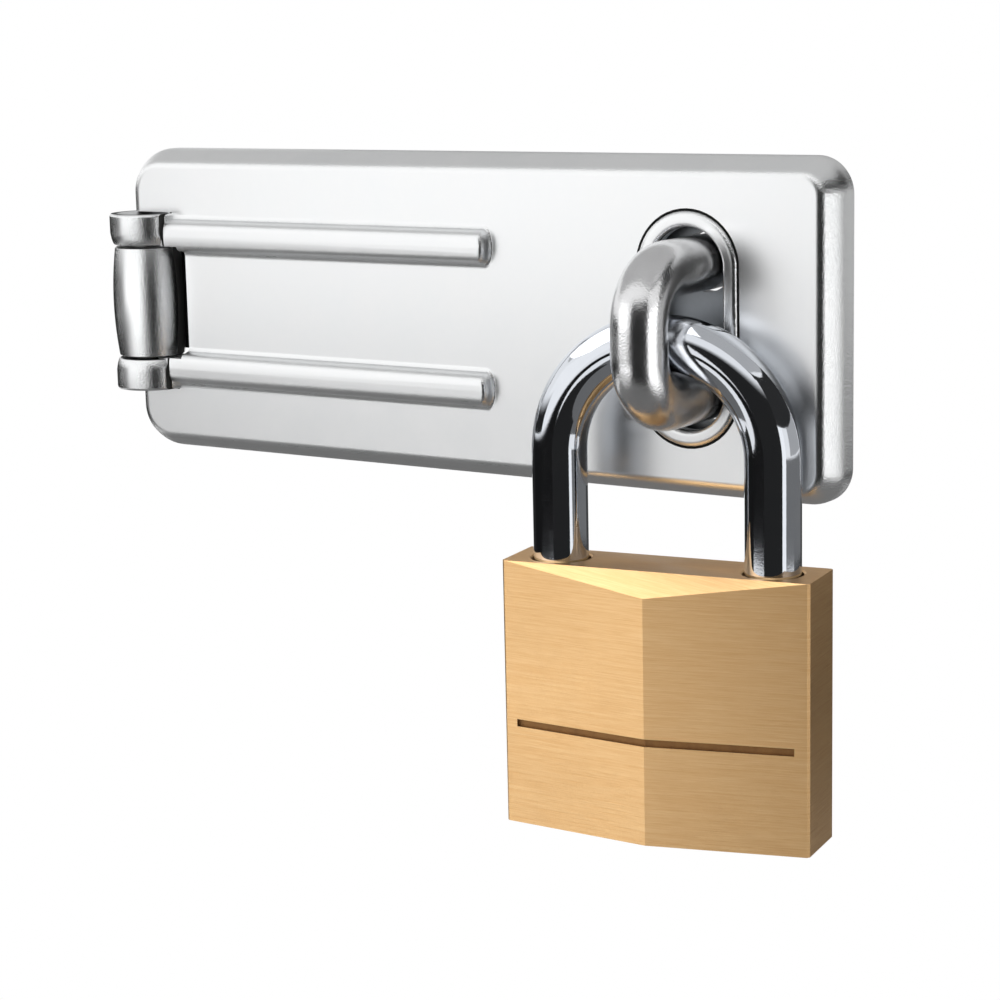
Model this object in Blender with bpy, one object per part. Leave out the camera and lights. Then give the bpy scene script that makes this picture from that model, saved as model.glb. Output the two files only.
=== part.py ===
"""Hasp and padlock: a pressed steel hasp closed over its staple, with a brass padlock
hanging through the staple's eye.

Frame: metres, +Z up. The wall is the plane Y = 0 and the hasp faces -Y. The origin is the
centre of the staple plate's back face. The padlock is built in its own frame, which hangs
from the empty "padlock_frame" at the top of the shackle's bow.
"""

import math

import bmesh
import bpy
from mathutils import Matrix, Vector

MM = 0.001

# Running clearance between separate pieces, and how far a cutter reaches past what it cuts
GAP = 0.3 * MM
OVERCUT = 1.0 * MM

# Cover plate: the pressed arm
COVER_LENGTH = 110.0 * MM
COVER_RIGHT = 19.0 * MM
COVER_HALF_HEIGHT = 21.0 * MM
FACE_DEPTH = 5.5 * MM
SHEET = 1.5 * MM
EDGE_ROLL = 2.2 * MM
LEFT_CORNER = 6.0 * MM
RIGHT_CORNER = 4.6 * MM

# Ribs pressed out of the cover
RIB_OFFSET = 9.2 * MM
RIB_HALF_WIDTH = 2.55 * MM
RIB_HEIGHT = 2.0 * MM
RIB_REACH = 62.0 * MM

# Slot with its dished rim
SLOT_SIDE_ROOM = 1.5 * MM
SLOT_END_ROOM = 1.05 * MM
DISH_WIDTH = 1.9 * MM
DISH_DEPTH = 1.2 * MM
SLOT_SHIFT = -0.8 * MM

# Hinge barrel: two collars on the cover, one knuckle on the leaf, one pin
HINGE_INSET = 3.6 * MM
BARREL_RADIUS = 5.1 * MM
BARREL_HALF_HEIGHT = 12.25 * MM
COLLAR_HEIGHT = 4.3 * MM
COLLAR_EDGE = 0.6 * MM
KNUCKLE_TAPER = 0.6 * MM
PIN_RADIUS = 2.5 * MM
PIN_RECESS = 1.0 * MM
NOTCH_REACH = 10.5 * MM
COLLAR_SEAM = 0.05 * MM
PIN_CHAMFER = 0.4 * MM

# Fixed leaf behind the cover
LEAF_LENGTH = 40.0 * MM
LEAF_NOTCH_GAP = 0.8 * MM
LEAF_SHEET = 1.8 * MM
LEAF_CORNER = 3.0 * MM
LEAF_INNER_CORNER = 1.0 * MM
LEAF_HOLE_OFFSET = 6.5 * MM

# Screw holes of the leaf and the staple plate
SCREW_HOLE_RADIUS = 2.0 * MM
SCREW_SINK_RADIUS = 3.6 * MM

# Staple plate and staple
STAPLE_PLATE_HALF_WIDTH = 15.5 * MM
STAPLE_PLATE_HALF_HEIGHT = 17.5 * MM
STAPLE_PLATE_SHEET = 2.0 * MM
STAPLE_PLATE_CORNER = 3.5 * MM
STAPLE_HOLE_EDGE = 4.7 * MM
STAPLE_RADIUS = 3.45 * MM
STAPLE_HALF_SPAN = 8.0 * MM
STAPLE_BEND = 6.5 * MM
STAPLE_REACH = 13.0 * MM

# Shackle
SHACKLE_RADIUS = 3.45 * MM
SHACKLE_OPENING = 20.9 * MM
SHACKLE_CLEARANCE = 27.4 * MM
SHACKLE_TIP_CHAMFER = 0.7 * MM
SHACKLE_NECK_CHAMFER = 0.4 * MM
HEEL_NECK_RADIUS = 2.7 * MM
HEEL_FOOT = 2.0 * MM
TOE_LIP = 2.1 * MM
LIFT = 10.5 * MM

# How the padlock hangs in the staple
HANG_TURN = math.radians(8.0)
HANG_SHIFT = -0.9 * MM
HANG_FACE_GAP = 0.4 * MM

# Padlock body
BODY_HEIGHT = 33.6 * MM
BODY_SIDE = 9.0 * MM
BODY_RIDGE = 3.0 * MM
BODY_SIDE_CHAMFER = 0.6 * MM
TOP_FACET_DROP = 2.7 * MM
GROOVE_DEPTH_DOWN = 20.6 * MM
GROOVE_WIDTH = 0.8 * MM
GROOVE_CUT = 0.45 * MM
GROOVE_END_ROOM = 1.8 * MM
SHACKLE_BORE_GAP = 0.3 * MM
SHACKLE_WALL = 2.35 * MM
HEEL_BORE_DEPTH = 28.5 * MM
TOE_BORE_GAP = 0.6 * MM

# Locking bolts, their cross bore and the cam between them
BOLT_DEPTH_DOWN = 5.0 * MM
BOLT_RADIUS = 2.5 * MM
BOLT_TRAVEL = 1.9 * MM
BOLT_INNER_END = 4.0 * MM
BOLT_NOTCH_GAP = 0.4 * MM
BOLT_NOSE_CHAMFER = 0.6 * MM
BOLT_NOSE_INSET = 0.1 * MM
HEEL_CATCH = 0.5 * MM
FINGER_THICKNESS = 0.95 * MM
FINGER_OFFSET = 1.05 * MM
FINGER_HEIGHT = 1.4 * MM
HOOK_THICKNESS = 0.6 * MM
HOOK_BACK = 1.5 * MM
HOOK_FRONT = 0.5 * MM
HOOK_LAP = 0.2 * MM
CAM_LONG = 2.7 * MM
CAM_SHORT = 1.0 * MM
CAM_HEIGHT = 1.8 * MM
CAM_STEM_RADIUS = 1.7 * MM
CAM_BORE_RADIUS = 3.3 * MM
TANG_HALF_THICKNESS = 0.7 * MM
TANG_HALF_WIDTH = 1.5 * MM
TANG_DEPTH = 1.4 * MM
BOLT_PLUG_LENGTH = 2.2 * MM
PLUG_INSET = 0.1 * MM

# Key plug, its retaining ring and the pin chambers
PLUG_RADIUS = 4.5 * MM
PLUG_BORE_TOP = 9.0 * MM
PLUG_NECK_RADIUS = 3.5 * MM
RING_SEAT_DEPTH = 1.8 * MM
RING_SEAT_STEP = 1.4 * MM
RING_THICKNESS = 1.4 * MM
KEYWAY_HALF_WIDTH = 0.8 * MM
KEYWAY_NEAR = 2.0 * MM
KEYWAY_FAR = 3.6 * MM
KEYWAY_TOP = 12.4 * MM
PIN_COUNT = 4
PIN_FIRST = 14.5 * MM
PIN_PITCH = 3.6 * MM
PIN_SHANK_RADIUS = 1.3 * MM
PIN_TIP = 0.8 * MM
PIN_BORE_REACH = 0.8 * MM
KEY_PIN_LENGTHS = (3.4 * MM, 2.6 * MM, 3.0 * MM, 2.4 * MM)
DRIVER_LENGTH = 4.0 * MM
CHAMBER_PLUG_LENGTH = 2.4 * MM

# Springs
DRIVER_SPRING_RADIUS = 1.05 * MM
DRIVER_SPRING_WIRE = 0.18 * MM
SHACKLE_SPRING_RADIUS = 2.6 * MM
SHACKLE_SPRING_WIRE = 0.4 * MM
BOLT_SPRING_RADIUS = 0.5 * MM
BOLT_SPRING_WIRE = 0.13 * MM
BOLT_SPRING_POCKET = 1.2 * MM
BOLT_SPRING_ROOM = 0.2 * MM

# Derived places
SHACKLE_BORE_RADIUS = SHACKLE_RADIUS + SHACKLE_BORE_GAP
SHACKLE_HALF_SPAN = SHACKLE_OPENING / 2 + SHACKLE_RADIUS
HALF_WIDTH = SHACKLE_HALF_SPAN + SHACKLE_BORE_RADIUS + SHACKLE_WALL
COVER_LEFT = COVER_RIGHT - COVER_LENGTH
HINGE_X = COVER_LEFT + HINGE_INSET
HINGE_DEPTH = BARREL_RADIUS + GAP
WIDE_NOTCH_HALF = BARREL_HALF_HEIGHT - COLLAR_SEAM
LEAF_HALF_HEIGHT = WIDE_NOTCH_HALF - LEAF_NOTCH_GAP
KNUCKLE_HALF = BARREL_HALF_HEIGHT - COLLAR_HEIGHT - GAP
STAPLE_FRONT = FACE_DEPTH + STAPLE_REACH
STAPLE_HOLE_X = STAPLE_PLATE_HALF_WIDTH - STAPLE_HOLE_EDGE
STAPLE_HOLE_Z = STAPLE_PLATE_HALF_HEIGHT - STAPLE_HOLE_EDGE
SLOT_HALF_WIDTH = STAPLE_RADIUS + SLOT_SIDE_ROOM
SLOT_HALF_HEIGHT = STAPLE_HALF_SPAN + STAPLE_RADIUS + SLOT_END_ROOM
SHACKLE_REST_Z = -STAPLE_HALF_SPAN + STAPLE_RADIUS + GAP + SHACKLE_RADIUS
SHACKLE_DEPTH = (
    FACE_DEPTH + HANG_FACE_GAP + SHACKLE_RADIUS + SHACKLE_HALF_SPAN * math.sin(HANG_TURN)
)
GROOVE_HALF_LENGTH = HALF_WIDTH - GROOVE_END_ROOM
BODY_TOP = -SHACKLE_CLEARANCE
BODY_BOTTOM = BODY_TOP - BODY_HEIGHT
HALF_SIDE = BODY_SIDE / 2
BOLT_Z = BODY_TOP - BOLT_DEPTH_DOWN
BOLT_BORE_RADIUS = BOLT_RADIUS + GAP
NOTCH_TOP = BOLT_Z + BOLT_RADIUS + BOLT_NOTCH_GAP
NOTCH_BOTTOM = BOLT_Z - BOLT_RADIUS - BOLT_NOTCH_GAP
TOE_TIP = NOTCH_BOTTOM - TOE_LIP
HEEL_FOOT_TOP = BOLT_Z - BOLT_RADIUS - LIFT - BOLT_NOTCH_GAP
HEEL_TIP = HEEL_FOOT_TOP - HEEL_FOOT
CAM_TOP = BOLT_Z - BOLT_NOTCH_GAP
CAM_BOTTOM = CAM_TOP - CAM_HEIGHT
PLUG_BORE_RADIUS = PLUG_RADIUS + GAP
PLUG_TOP = BODY_TOP - PLUG_BORE_TOP - GAP
CHAMBER_RADIUS = PIN_SHANK_RADIUS + GAP
KEY_PIN_SEAT = PLUG_RADIUS - GAP
RING_SEAT_Z = BODY_BOTTOM + RING_SEAT_DEPTH
RING_TOP = RING_SEAT_Z - GAP
RING_SEAT_RADIUS = PLUG_BORE_RADIUS + RING_SEAT_STEP
PLUG_SHOULDER = RING_TOP + GAP
DRIVER_INNER = PLUG_BORE_RADIUS
DRIVER_OUTER = DRIVER_INNER + DRIVER_LENGTH
CHAMBER_PLUG_INNER = HALF_WIDTH - GAP - CHAMBER_PLUG_LENGTH


# Scene and materials

for leftover in list(bpy.data.objects):
    bpy.data.objects.remove(leftover, do_unlink=True)


def metal(name, colour, roughness):
    material = bpy.data.materials.new(name)
    material.use_nodes = True
    shader = material.node_tree.nodes["Principled BSDF"]
    shader.inputs["Base Color"].default_value = (*colour, 1.0)
    shader.inputs["Metallic"].default_value = 1.0
    shader.inputs["Roughness"].default_value = roughness
    material.diffuse_color = (*colour, 1.0)
    return material


ZINC = metal("bright_zinc", (0.86, 0.87, 0.88), 0.28)
STAPLE_STEEL = metal("zinc_staple", (0.62, 0.62, 0.63), 0.3)
CHROME = metal("chrome", (0.78, 0.8, 0.82), 0.08)
BRASS = metal("brushed_brass", (0.83, 0.6, 0.29), 0.35)
TURNED_BRASS = metal("turned_brass", (0.78, 0.57, 0.27), 0.25)
STEEL = metal("plain_steel", (0.6, 0.6, 0.6), 0.35)
SPRING_STEEL = metal("spring_steel", (0.5, 0.5, 0.52), 0.3)


# Building helpers


def add_object(name, mesh_data, material=None, parent=None):
    """Make the object from a finished bmesh."""
    bmesh.ops.recalc_face_normals(mesh_data, faces=mesh_data.faces[:])
    mesh = bpy.data.meshes.new(name)
    mesh_data.to_mesh(mesh)
    mesh_data.free()
    if material is not None:
        mesh.materials.append(material)
    made = bpy.data.objects.new(name, mesh)
    bpy.context.scene.collection.objects.link(made)
    made.parent = parent
    return made


def add_tool(name, mesh_data, parent=None):
    """A Boolean operand: kept, but not part of the model."""
    made = add_object(name, mesh_data, None, parent)
    made.hide_render = True
    made.display_type = "WIRE"
    return made


def boolean(target, tool, operation="DIFFERENCE"):
    modifier = target.modifiers.new(tool.name, "BOOLEAN")
    modifier.operation = operation
    modifier.solver = "EXACT"
    modifier.object = tool


def shade_round(target, degrees=35.0):
    target.data.shade_smooth()
    target.data.set_sharp_from_angle(angle=math.radians(degrees))


def empty(name, place, turn=0.0, parent=None):
    made = bpy.data.objects.new(name, None)
    bpy.context.scene.collection.objects.link(made)
    made.empty_display_size = STAPLE_RADIUS
    made.location = place
    made.rotation_euler = (0.0, 0.0, turn)
    made.parent = parent
    return made


def loft(rings):
    """Skin equal rings of points one after another and cap both ends."""
    shape = bmesh.new()
    rows = [[shape.verts.new(point) for point in ring] for ring in rings]
    count = len(rings[0])
    for low, high in zip(rows, rows[1:]):
        for i in range(count):
            j = (i + 1) % count
            shape.faces.new((low[i], low[j], high[j], high[i]))
    shape.faces.new(rows[0][::-1])
    shape.faces.new(rows[-1])
    return shape


def box(low, high):
    shape = bmesh.new()
    low, high = Vector(low), Vector(high)
    size = Matrix.Diagonal((*(high - low), 1.0))
    bmesh.ops.create_cube(shape, size=1.0, matrix=Matrix.Translation((low + high) / 2) @ size)
    return shape


def turned(profile, sides=24, place=(0.0, 0.0, 0.0), axis="Z"):
    """Revolve (radius, height) pairs, from one flat end to the other."""
    turn = {
        "Z": Matrix.Identity(4),
        "X": Matrix.Rotation(math.pi / 2, 4, "Y"),
        "Y": Matrix.Rotation(-math.pi / 2, 4, "X"),
    }[axis]
    rings = []
    for radius, height in profile:
        ring = []
        for i in range(sides):
            angle = math.tau * i / sides
            ring.append(Vector((radius * math.cos(angle), radius * math.sin(angle), height)))
        rings.append(ring)
    shape = loft(rings)
    bmesh.ops.transform(shape, matrix=Matrix.Translation(place) @ turn, verts=shape.verts[:])
    return shape


def cylinder(radius, low, high, sides=24, place=(0.0, 0.0, 0.0), axis="Z"):
    return turned([(radius, low), (radius, high)], sides, place, axis)


def rounded_outline(left, right, half_height, left_corner, right_corner, steps=6):
    """Counter-clockwise outline in X and Z with a radius for each end's corners."""
    corners = (
        (right, half_height, right_corner, 0.0),
        (left, half_height, left_corner, 0.5 * math.pi),
        (left, -half_height, left_corner, math.pi),
        (right, -half_height, right_corner, 1.5 * math.pi),
    )
    points = []
    for x, z, radius, start in corners:
        centre_x = x - math.copysign(radius, math.cos(start + math.pi / 4))
        centre_z = z - math.copysign(radius, math.sin(start + math.pi / 4))
        for i in range(steps + 1):
            angle = start + 0.5 * math.pi * i / steps
            points.append((centre_x + radius * math.cos(angle), centre_z + radius * math.sin(angle)))
    return points


def stadium(half_width, half_height, shift=0.0, steps=10):
    """Slot outline in X and Z with round top and bottom."""
    straight = half_height - half_width
    points = []
    for centre, start in ((straight, 0.0), (-straight, math.pi)):
        for i in range(steps + 1):
            angle = start + math.pi * i / steps
            points.append((shift + half_width * math.cos(angle), centre + half_width * math.sin(angle)))
    return points


def plate_ring(outline, depth):
    return [(x, -depth, z) for x, z in outline]


def swept(path, radii, side_axis, sides=20):
    """Round bar along a planar path. side_axis is the plane's normal."""
    rings = []
    count = len(path)
    for i, (point, radius) in enumerate(zip(path, radii)):
        before, after = path[max(i - 1, 0)], path[min(i + 1, count - 1)]
        if (after - point).length < 1e-9:
            after = path[min(i + 2, count - 1)]
        if (point - before).length < 1e-9:
            before = path[max(i - 2, 0)]
        tangent = (after - before).normalized()
        across = side_axis.cross(tangent).normalized()
        ring = []
        for k in range(sides):
            angle = math.tau * k / sides
            ring.append(point + radius * (math.cos(angle) * across + math.sin(angle) * side_axis))
        rings.append(ring)
    return loft(rings)


def arc(centre, radius, start, end, steps, first, second):
    """Points of a circular arc in the plane of the unit vectors first and second."""
    points = []
    for i in range(steps + 1):
        angle = start + (end - start) * i / steps
        points.append(centre + radius * (math.cos(angle) * first + math.sin(angle) * second))
    return points


def coil(name, radius, wire, start, length, direction, turns, parent):
    """Compression spring with closed ends, from start along direction."""
    steps = 9
    sides = 5
    direction = Vector(direction)
    first = direction.orthogonal().normalized()
    second = direction.cross(first)
    usable = length - 2 * wire
    total = turns * steps
    rings = []
    for i in range(total + 1):
        share = i / total
        angle = math.tau * turns * share
        out = math.cos(angle) * first + math.sin(angle) * second
        eased = min(max((share - 0.5 / turns) / (1 - 1.0 / turns), 0.0), 1.0)
        centre = Vector(start) + direction * (wire + usable * eased) + radius * out
        ring = []
        for k in range(sides):
            around = math.tau * k / sides
            ring.append(centre + wire * (math.cos(around) * out + math.sin(around) * direction))
        rings.append(ring)
    made = add_object(name, loft(rings), SPRING_STEEL, parent)
    shade_round(made, 80.0)
    return made


X, Y, Z = Vector((1, 0, 0)), Vector((0, 1, 0)), Vector((0, 0, 1))


# Cover plate


def cover_outline(inset):
    return rounded_outline(
        COVER_LEFT + inset,
        COVER_RIGHT - inset,
        COVER_HALF_HEIGHT - inset,
        LEFT_CORNER - inset,
        RIGHT_CORNER - inset,
    )


def cover_shell():
    """Tray with rolled edges, open towards the wall."""
    steps = 4
    shoulder = FACE_DEPTH - EDGE_ROLL
    inner_roll = EDGE_ROLL - SHEET
    rings = []
    for i in range(steps, -1, -1):
        angle = 0.5 * math.pi * i / steps
        inset = EDGE_ROLL * (1 - math.cos(angle))
        rings.append(plate_ring(cover_outline(inset), shoulder + EDGE_ROLL * math.sin(angle)))
    rings.append(plate_ring(cover_outline(0.0), GAP))
    rings.append(plate_ring(cover_outline(SHEET), GAP))
    for i in range(steps + 1):
        angle = 0.5 * math.pi * i / steps
        inset = SHEET + inner_roll * (1 - math.cos(angle))
        rings.append(plate_ring(cover_outline(inset), shoulder + inner_roll * math.sin(angle)))
    return loft(rings)


def rib(centre_z, half_width, height, base_depth, left, right):
    """Raised bead along X with a rounded right end."""
    steps = 8
    rings = []
    stations = [(left, 1.0)]
    for i in range(6):
        angle = 0.5 * math.pi * i / 5.3
        stations.append((right - half_width * (1 - math.sin(angle)), math.cos(angle)))
    for x, share in stations:
        ring = []
        for k in range(steps + 1):
            angle = math.pi * k / steps
            ring.append(
                (
                    x,
                    -base_depth - height * math.sqrt(share) * math.sin(angle),
                    centre_z + half_width * share * math.cos(angle),
                )
            )
        root = base_depth - 0.3 * SHEET
        ring.append((x, -root, centre_z - half_width * share))
        ring.append((x, -root, centre_z + half_width * share))
        rings.append(ring)
    return loft(rings)


cover_plate = add_object("cover_plate", cover_shell(), ZINC)

wide_notch = add_tool(
    "wide_notch",
    box(
        (COVER_LEFT - OVERCUT, -FACE_DEPTH - OVERCUT, -WIDE_NOTCH_HALF),
        (HINGE_X + 0.4 * BARREL_RADIUS, OVERCUT, WIDE_NOTCH_HALF),
    ),
)
boolean(cover_plate, wide_notch)

for side, label in ((1, "top"), (-1, "bottom")):
    rib_left = HINGE_X + PIN_RADIUS + 2 * GAP
    rib_right = COVER_LEFT + RIB_REACH
    bead = add_tool(
        f"rib_{label}",
        rib(side * RIB_OFFSET, RIB_HALF_WIDTH, RIB_HEIGHT, FACE_DEPTH, rib_left, rib_right),
    )
    boolean(cover_plate, bead, "UNION")
    hollow = add_tool(
        f"rib_hollow_{label}",
        rib(
            side * RIB_OFFSET,
            RIB_HALF_WIDTH - 0.8 * SHEET,
            RIB_HEIGHT,
            FACE_DEPTH - SHEET,
            HINGE_X + BARREL_RADIUS + SHEET,
            rib_right - SHEET,
        ),
    )
    boolean(cover_plate, hollow)
    outer = BARREL_HALF_HEIGHT
    inner = BARREL_HALF_HEIGHT - COLLAR_HEIGHT
    collar_profile = [
        (BARREL_RADIUS - COLLAR_EDGE, inner),
        (BARREL_RADIUS - 0.3 * COLLAR_EDGE, inner + 0.3 * COLLAR_EDGE),
        (BARREL_RADIUS, inner + COLLAR_EDGE),
        (BARREL_RADIUS, outer - 0.5 * COLLAR_EDGE),
        (BARREL_RADIUS - 0.5 * COLLAR_EDGE, outer),
    ]
    if side < 0:
        collar_profile = [(radius, -height) for radius, height in reversed(collar_profile)]
    collar = add_tool(
        f"collar_{label}", turned(collar_profile, 32, (HINGE_X, -HINGE_DEPTH, 0.0))
    )
    boolean(cover_plate, collar, "UNION")

knuckle_clear_z = BARREL_HALF_HEIGHT - COLLAR_HEIGHT - 0.5 * GAP
knuckle_notch = add_tool(
    "knuckle_notch",
    box(
        (HINGE_X - BARREL_RADIUS - OVERCUT, -HINGE_DEPTH - BARREL_RADIUS - OVERCUT, -knuckle_clear_z),
        (COVER_LEFT + NOTCH_REACH, OVERCUT, knuckle_clear_z),
    ),
)
boolean(cover_plate, knuckle_notch)
collar_bore = add_tool(
    "collar_bore",
    cylinder(
        PIN_RADIUS + GAP,
        -BARREL_HALF_HEIGHT - COLLAR_SEAM,
        BARREL_HALF_HEIGHT + COLLAR_SEAM,
        24,
        (HINGE_X, -HINGE_DEPTH, 0.0),
    ),
)
boolean(cover_plate, collar_bore)

dish_outer = stadium(SLOT_HALF_WIDTH + DISH_WIDTH, SLOT_HALF_HEIGHT + DISH_WIDTH, SLOT_SHIFT)
dish_inner = stadium(SLOT_HALF_WIDTH, SLOT_HALF_HEIGHT, SLOT_SHIFT)
lip_outline = stadium(SLOT_HALF_WIDTH + SHEET, SLOT_HALF_HEIGHT + SHEET, SLOT_SHIFT)
dish_lip = add_tool(
    "dish_lip",
    loft(
        [
            plate_ring(dish_outer, FACE_DEPTH - 0.5 * SHEET),
            plate_ring(dish_outer, FACE_DEPTH - SHEET),
            plate_ring(lip_outline, FACE_DEPTH - SHEET - 0.8 * DISH_DEPTH),
        ]
    ),
)
boolean(cover_plate, dish_lip, "UNION")
slot_cut = add_tool(
    "slot_cut",
    loft(
        [
            plate_ring(dish_outer, FACE_DEPTH + OVERCUT),
            plate_ring(dish_outer, FACE_DEPTH),
            plate_ring(dish_inner, FACE_DEPTH - DISH_DEPTH),
            plate_ring(dish_inner, -OVERCUT),
        ]
    ),
)
boolean(cover_plate, slot_cut)
shade_round(cover_plate)


# Hinge leaf and pin

hinge_axis = empty("hinge_axis", (HINGE_X, -HINGE_DEPTH, 0.0))


def knuckle_profile():
    steps = 8
    points = []
    for i in range(steps + 1):
        share = -1 + 2 * i / steps
        points.append((BARREL_RADIUS - KNUCKLE_TAPER * share * share, KNUCKLE_HALF * share))
    return points


hinge_leaf = add_object("hinge_leaf", turned(knuckle_profile(), 32), ZINC, hinge_axis)
leaf_back = HINGE_DEPTH
leaf_front = HINGE_DEPTH - LEAF_SHEET
leaf_start = NOTCH_REACH - HINGE_INSET - GAP
leaf_end = leaf_start + LEAF_LENGTH - BARREL_RADIUS
tongue_half = KNUCKLE_HALF - KNUCKLE_TAPER
tongue_start = 0.15 * BARREL_RADIUS
leaf_outline = rounded_outline(
    leaf_start, leaf_end, LEAF_HALF_HEIGHT, LEAF_INNER_CORNER, LEAF_CORNER, 4
)
left_corners = 10
tongue_outline = [
    (leaf_start, tongue_half),
    (tongue_start, tongue_half),
    (tongue_start, -tongue_half),
    (leaf_start, -tongue_half),
]
leaf_outline[left_corners:left_corners] = tongue_outline
leaf_wing = add_tool(
    "leaf_wing",
    loft([plate_ring(leaf_outline, -leaf_back), plate_ring(leaf_outline, -leaf_front)]),
    hinge_axis,
)
boolean(hinge_leaf, leaf_wing, "UNION")


def screw_cut(x, z, front, back):
    """Countersunk hole along Y, its wide end at front."""
    sink = SCREW_SINK_RADIUS - SCREW_HOLE_RADIUS
    profile = [
        (SCREW_SINK_RADIUS + 0.5 * OVERCUT, front - 0.5 * OVERCUT),
        (SCREW_HOLE_RADIUS, front + sink * 0.8),
        (SCREW_HOLE_RADIUS, back + OVERCUT),
    ]
    return turned(profile, 16, (x, 0.0, z), "Y")


leaf_far = leaf_end - 2 * SCREW_SINK_RADIUS
for column, x in enumerate((leaf_start + 2 * SCREW_SINK_RADIUS, leaf_far)):
    for row, z in enumerate((-LEAF_HOLE_OFFSET, LEAF_HOLE_OFFSET)):
        hole = add_tool(f"leaf_hole_{column}_{row}", screw_cut(x, z, leaf_front, leaf_back), hinge_axis)
        boolean(hinge_leaf, hole)

knuckle_bore = add_tool(
    "knuckle_bore",
    cylinder(PIN_RADIUS + GAP, -KNUCKLE_HALF - OVERCUT, KNUCKLE_HALF + OVERCUT, 24),
    hinge_axis,
)
boolean(hinge_leaf, knuckle_bore)
shade_round(hinge_leaf)

pin_end = BARREL_HALF_HEIGHT - PIN_RECESS
hinge_pin = add_object(
    "hinge_pin",
    turned(
        [
            (PIN_RADIUS - PIN_CHAMFER, -pin_end),
            (PIN_RADIUS, -pin_end + PIN_CHAMFER),
            (PIN_RADIUS, pin_end - PIN_CHAMFER),
            (PIN_RADIUS - PIN_CHAMFER, pin_end),
        ],
        24,
    ),
    STEEL,
    hinge_axis,
)
shade_round(hinge_pin)


# Staple plate and staple

staple_outline = rounded_outline(
    -STAPLE_PLATE_HALF_WIDTH,
    STAPLE_PLATE_HALF_WIDTH,
    STAPLE_PLATE_HALF_HEIGHT,
    STAPLE_PLATE_CORNER,
    STAPLE_PLATE_CORNER,
    4,
)
staple_plate = add_object(
    "staple_plate",
    loft([plate_ring(staple_outline, 0.0), plate_ring(staple_outline, STAPLE_PLATE_SHEET)]),
    ZINC,
)
for side in (1, -1):
    leg_hole = add_tool(
        f"leg_hole_{side}",
        cylinder(
            STAPLE_RADIUS + GAP,
            -STAPLE_PLATE_SHEET - OVERCUT,
            OVERCUT,
            24,
            (0.0, 0.0, side * STAPLE_HALF_SPAN),
            "Y",
        ),
    )
    boolean(staple_plate, leg_hole)
    for end in (1, -1):
        hole = add_tool(
            f"plate_hole_{side}_{end}",
            screw_cut(end * STAPLE_HOLE_X, side * STAPLE_HOLE_Z, -STAPLE_PLATE_SHEET, 0.0),
        )
        boolean(staple_plate, hole)
shade_round(staple_plate)


def staple_path():
    bend_y = -STAPLE_FRONT + STAPLE_BEND
    bend_z = STAPLE_HALF_SPAN - STAPLE_BEND
    upper = arc(Vector((0, bend_y, bend_z)), STAPLE_BEND, 0.5 * math.pi, 0.0, 8, -Y, Z)
    lower = arc(Vector((0, bend_y, -bend_z)), STAPLE_BEND, 0.0, -0.5 * math.pi, 8, -Y, Z)
    leg = [Vector((0, -GAP, STAPLE_HALF_SPAN))]
    foot = [Vector((0, -GAP, -STAPLE_HALF_SPAN))]
    return leg + upper + lower + foot


route = staple_path()
staple = add_object("staple", swept(route, [STAPLE_RADIUS] * len(route), X), STAPLE_STEEL)
shade_round(staple)


# Padlock: everything below hangs in this frame

padlock_frame = empty(
    "padlock_frame", (HANG_SHIFT, -SHACKLE_DEPTH, SHACKLE_REST_Z), HANG_TURN
)


# Shackle: toe at -X, long heel at +X


def shackle_shape():
    """Bar from the toe's tip over the bow to the heel's foot."""
    chamfer = SHACKLE_TIP_CHAMFER
    spring_line = -SHACKLE_HALF_SPAN
    toe_x, heel_x = -SHACKLE_HALF_SPAN, SHACKLE_HALF_SPAN
    full, neck = SHACKLE_RADIUS, HEEL_NECK_RADIUS
    stations = [
        (Vector((toe_x, 0, TOE_TIP)), full - chamfer),
        (Vector((toe_x, 0, TOE_TIP + chamfer)), full),
        (Vector((toe_x, 0, BODY_TOP)), full),
    ]
    bow = arc(Vector((0, 0, spring_line)), SHACKLE_HALF_SPAN, math.pi, 0.0, 24, X, Z)
    stations += [(point, full) for point in bow]
    stations += [
        (Vector((heel_x, 0, NOTCH_TOP)), full),
        (Vector((heel_x, 0, NOTCH_TOP - SHACKLE_NECK_CHAMFER)), neck),
        (Vector((heel_x, 0, HEEL_FOOT_TOP + SHACKLE_NECK_CHAMFER)), neck),
        (Vector((heel_x, 0, HEEL_FOOT_TOP)), full),
        (Vector((heel_x, 0, HEEL_TIP + chamfer)), full),
        (Vector((heel_x, 0, HEEL_TIP)), full - chamfer),
    ]
    return swept([point for point, _ in stations], [radius for _, radius in stations], -Y, 20)


shackle = add_object("shackle", shackle_shape(), CHROME, padlock_frame)
toe_nose = SHACKLE_HALF_SPAN - SHACKLE_BORE_RADIUS - BOLT_NOSE_INSET
heel_nose = SHACKLE_HALF_SPAN - SHACKLE_BORE_RADIUS + HEEL_CATCH
toe_notch_x = -toe_nose - BOLT_TRAVEL - GAP
heel_notch_x = heel_nose + BOLT_TRAVEL + GAP
toe_notch = add_tool(
    "toe_notch",
    box(
        (toe_notch_x, -2 * SHACKLE_RADIUS, NOTCH_BOTTOM),
        (0.0, 2 * SHACKLE_RADIUS, NOTCH_TOP),
    ),
    padlock_frame,
)
boolean(shackle, toe_notch)
heel_notch = add_tool(
    "heel_notch",
    box(
        (0.0, -2 * SHACKLE_RADIUS, NOTCH_BOTTOM),
        (heel_notch_x, 2 * SHACKLE_RADIUS, NOTCH_TOP),
    ),
    padlock_frame,
)
boolean(shackle, heel_notch)
shade_round(shackle)


# Padlock body


def half_thickness(x):
    """Half the body's depth at a distance x from its middle."""
    return HALF_SIDE + BODY_RIDGE * (1 - abs(x) / HALF_WIDTH)


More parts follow.
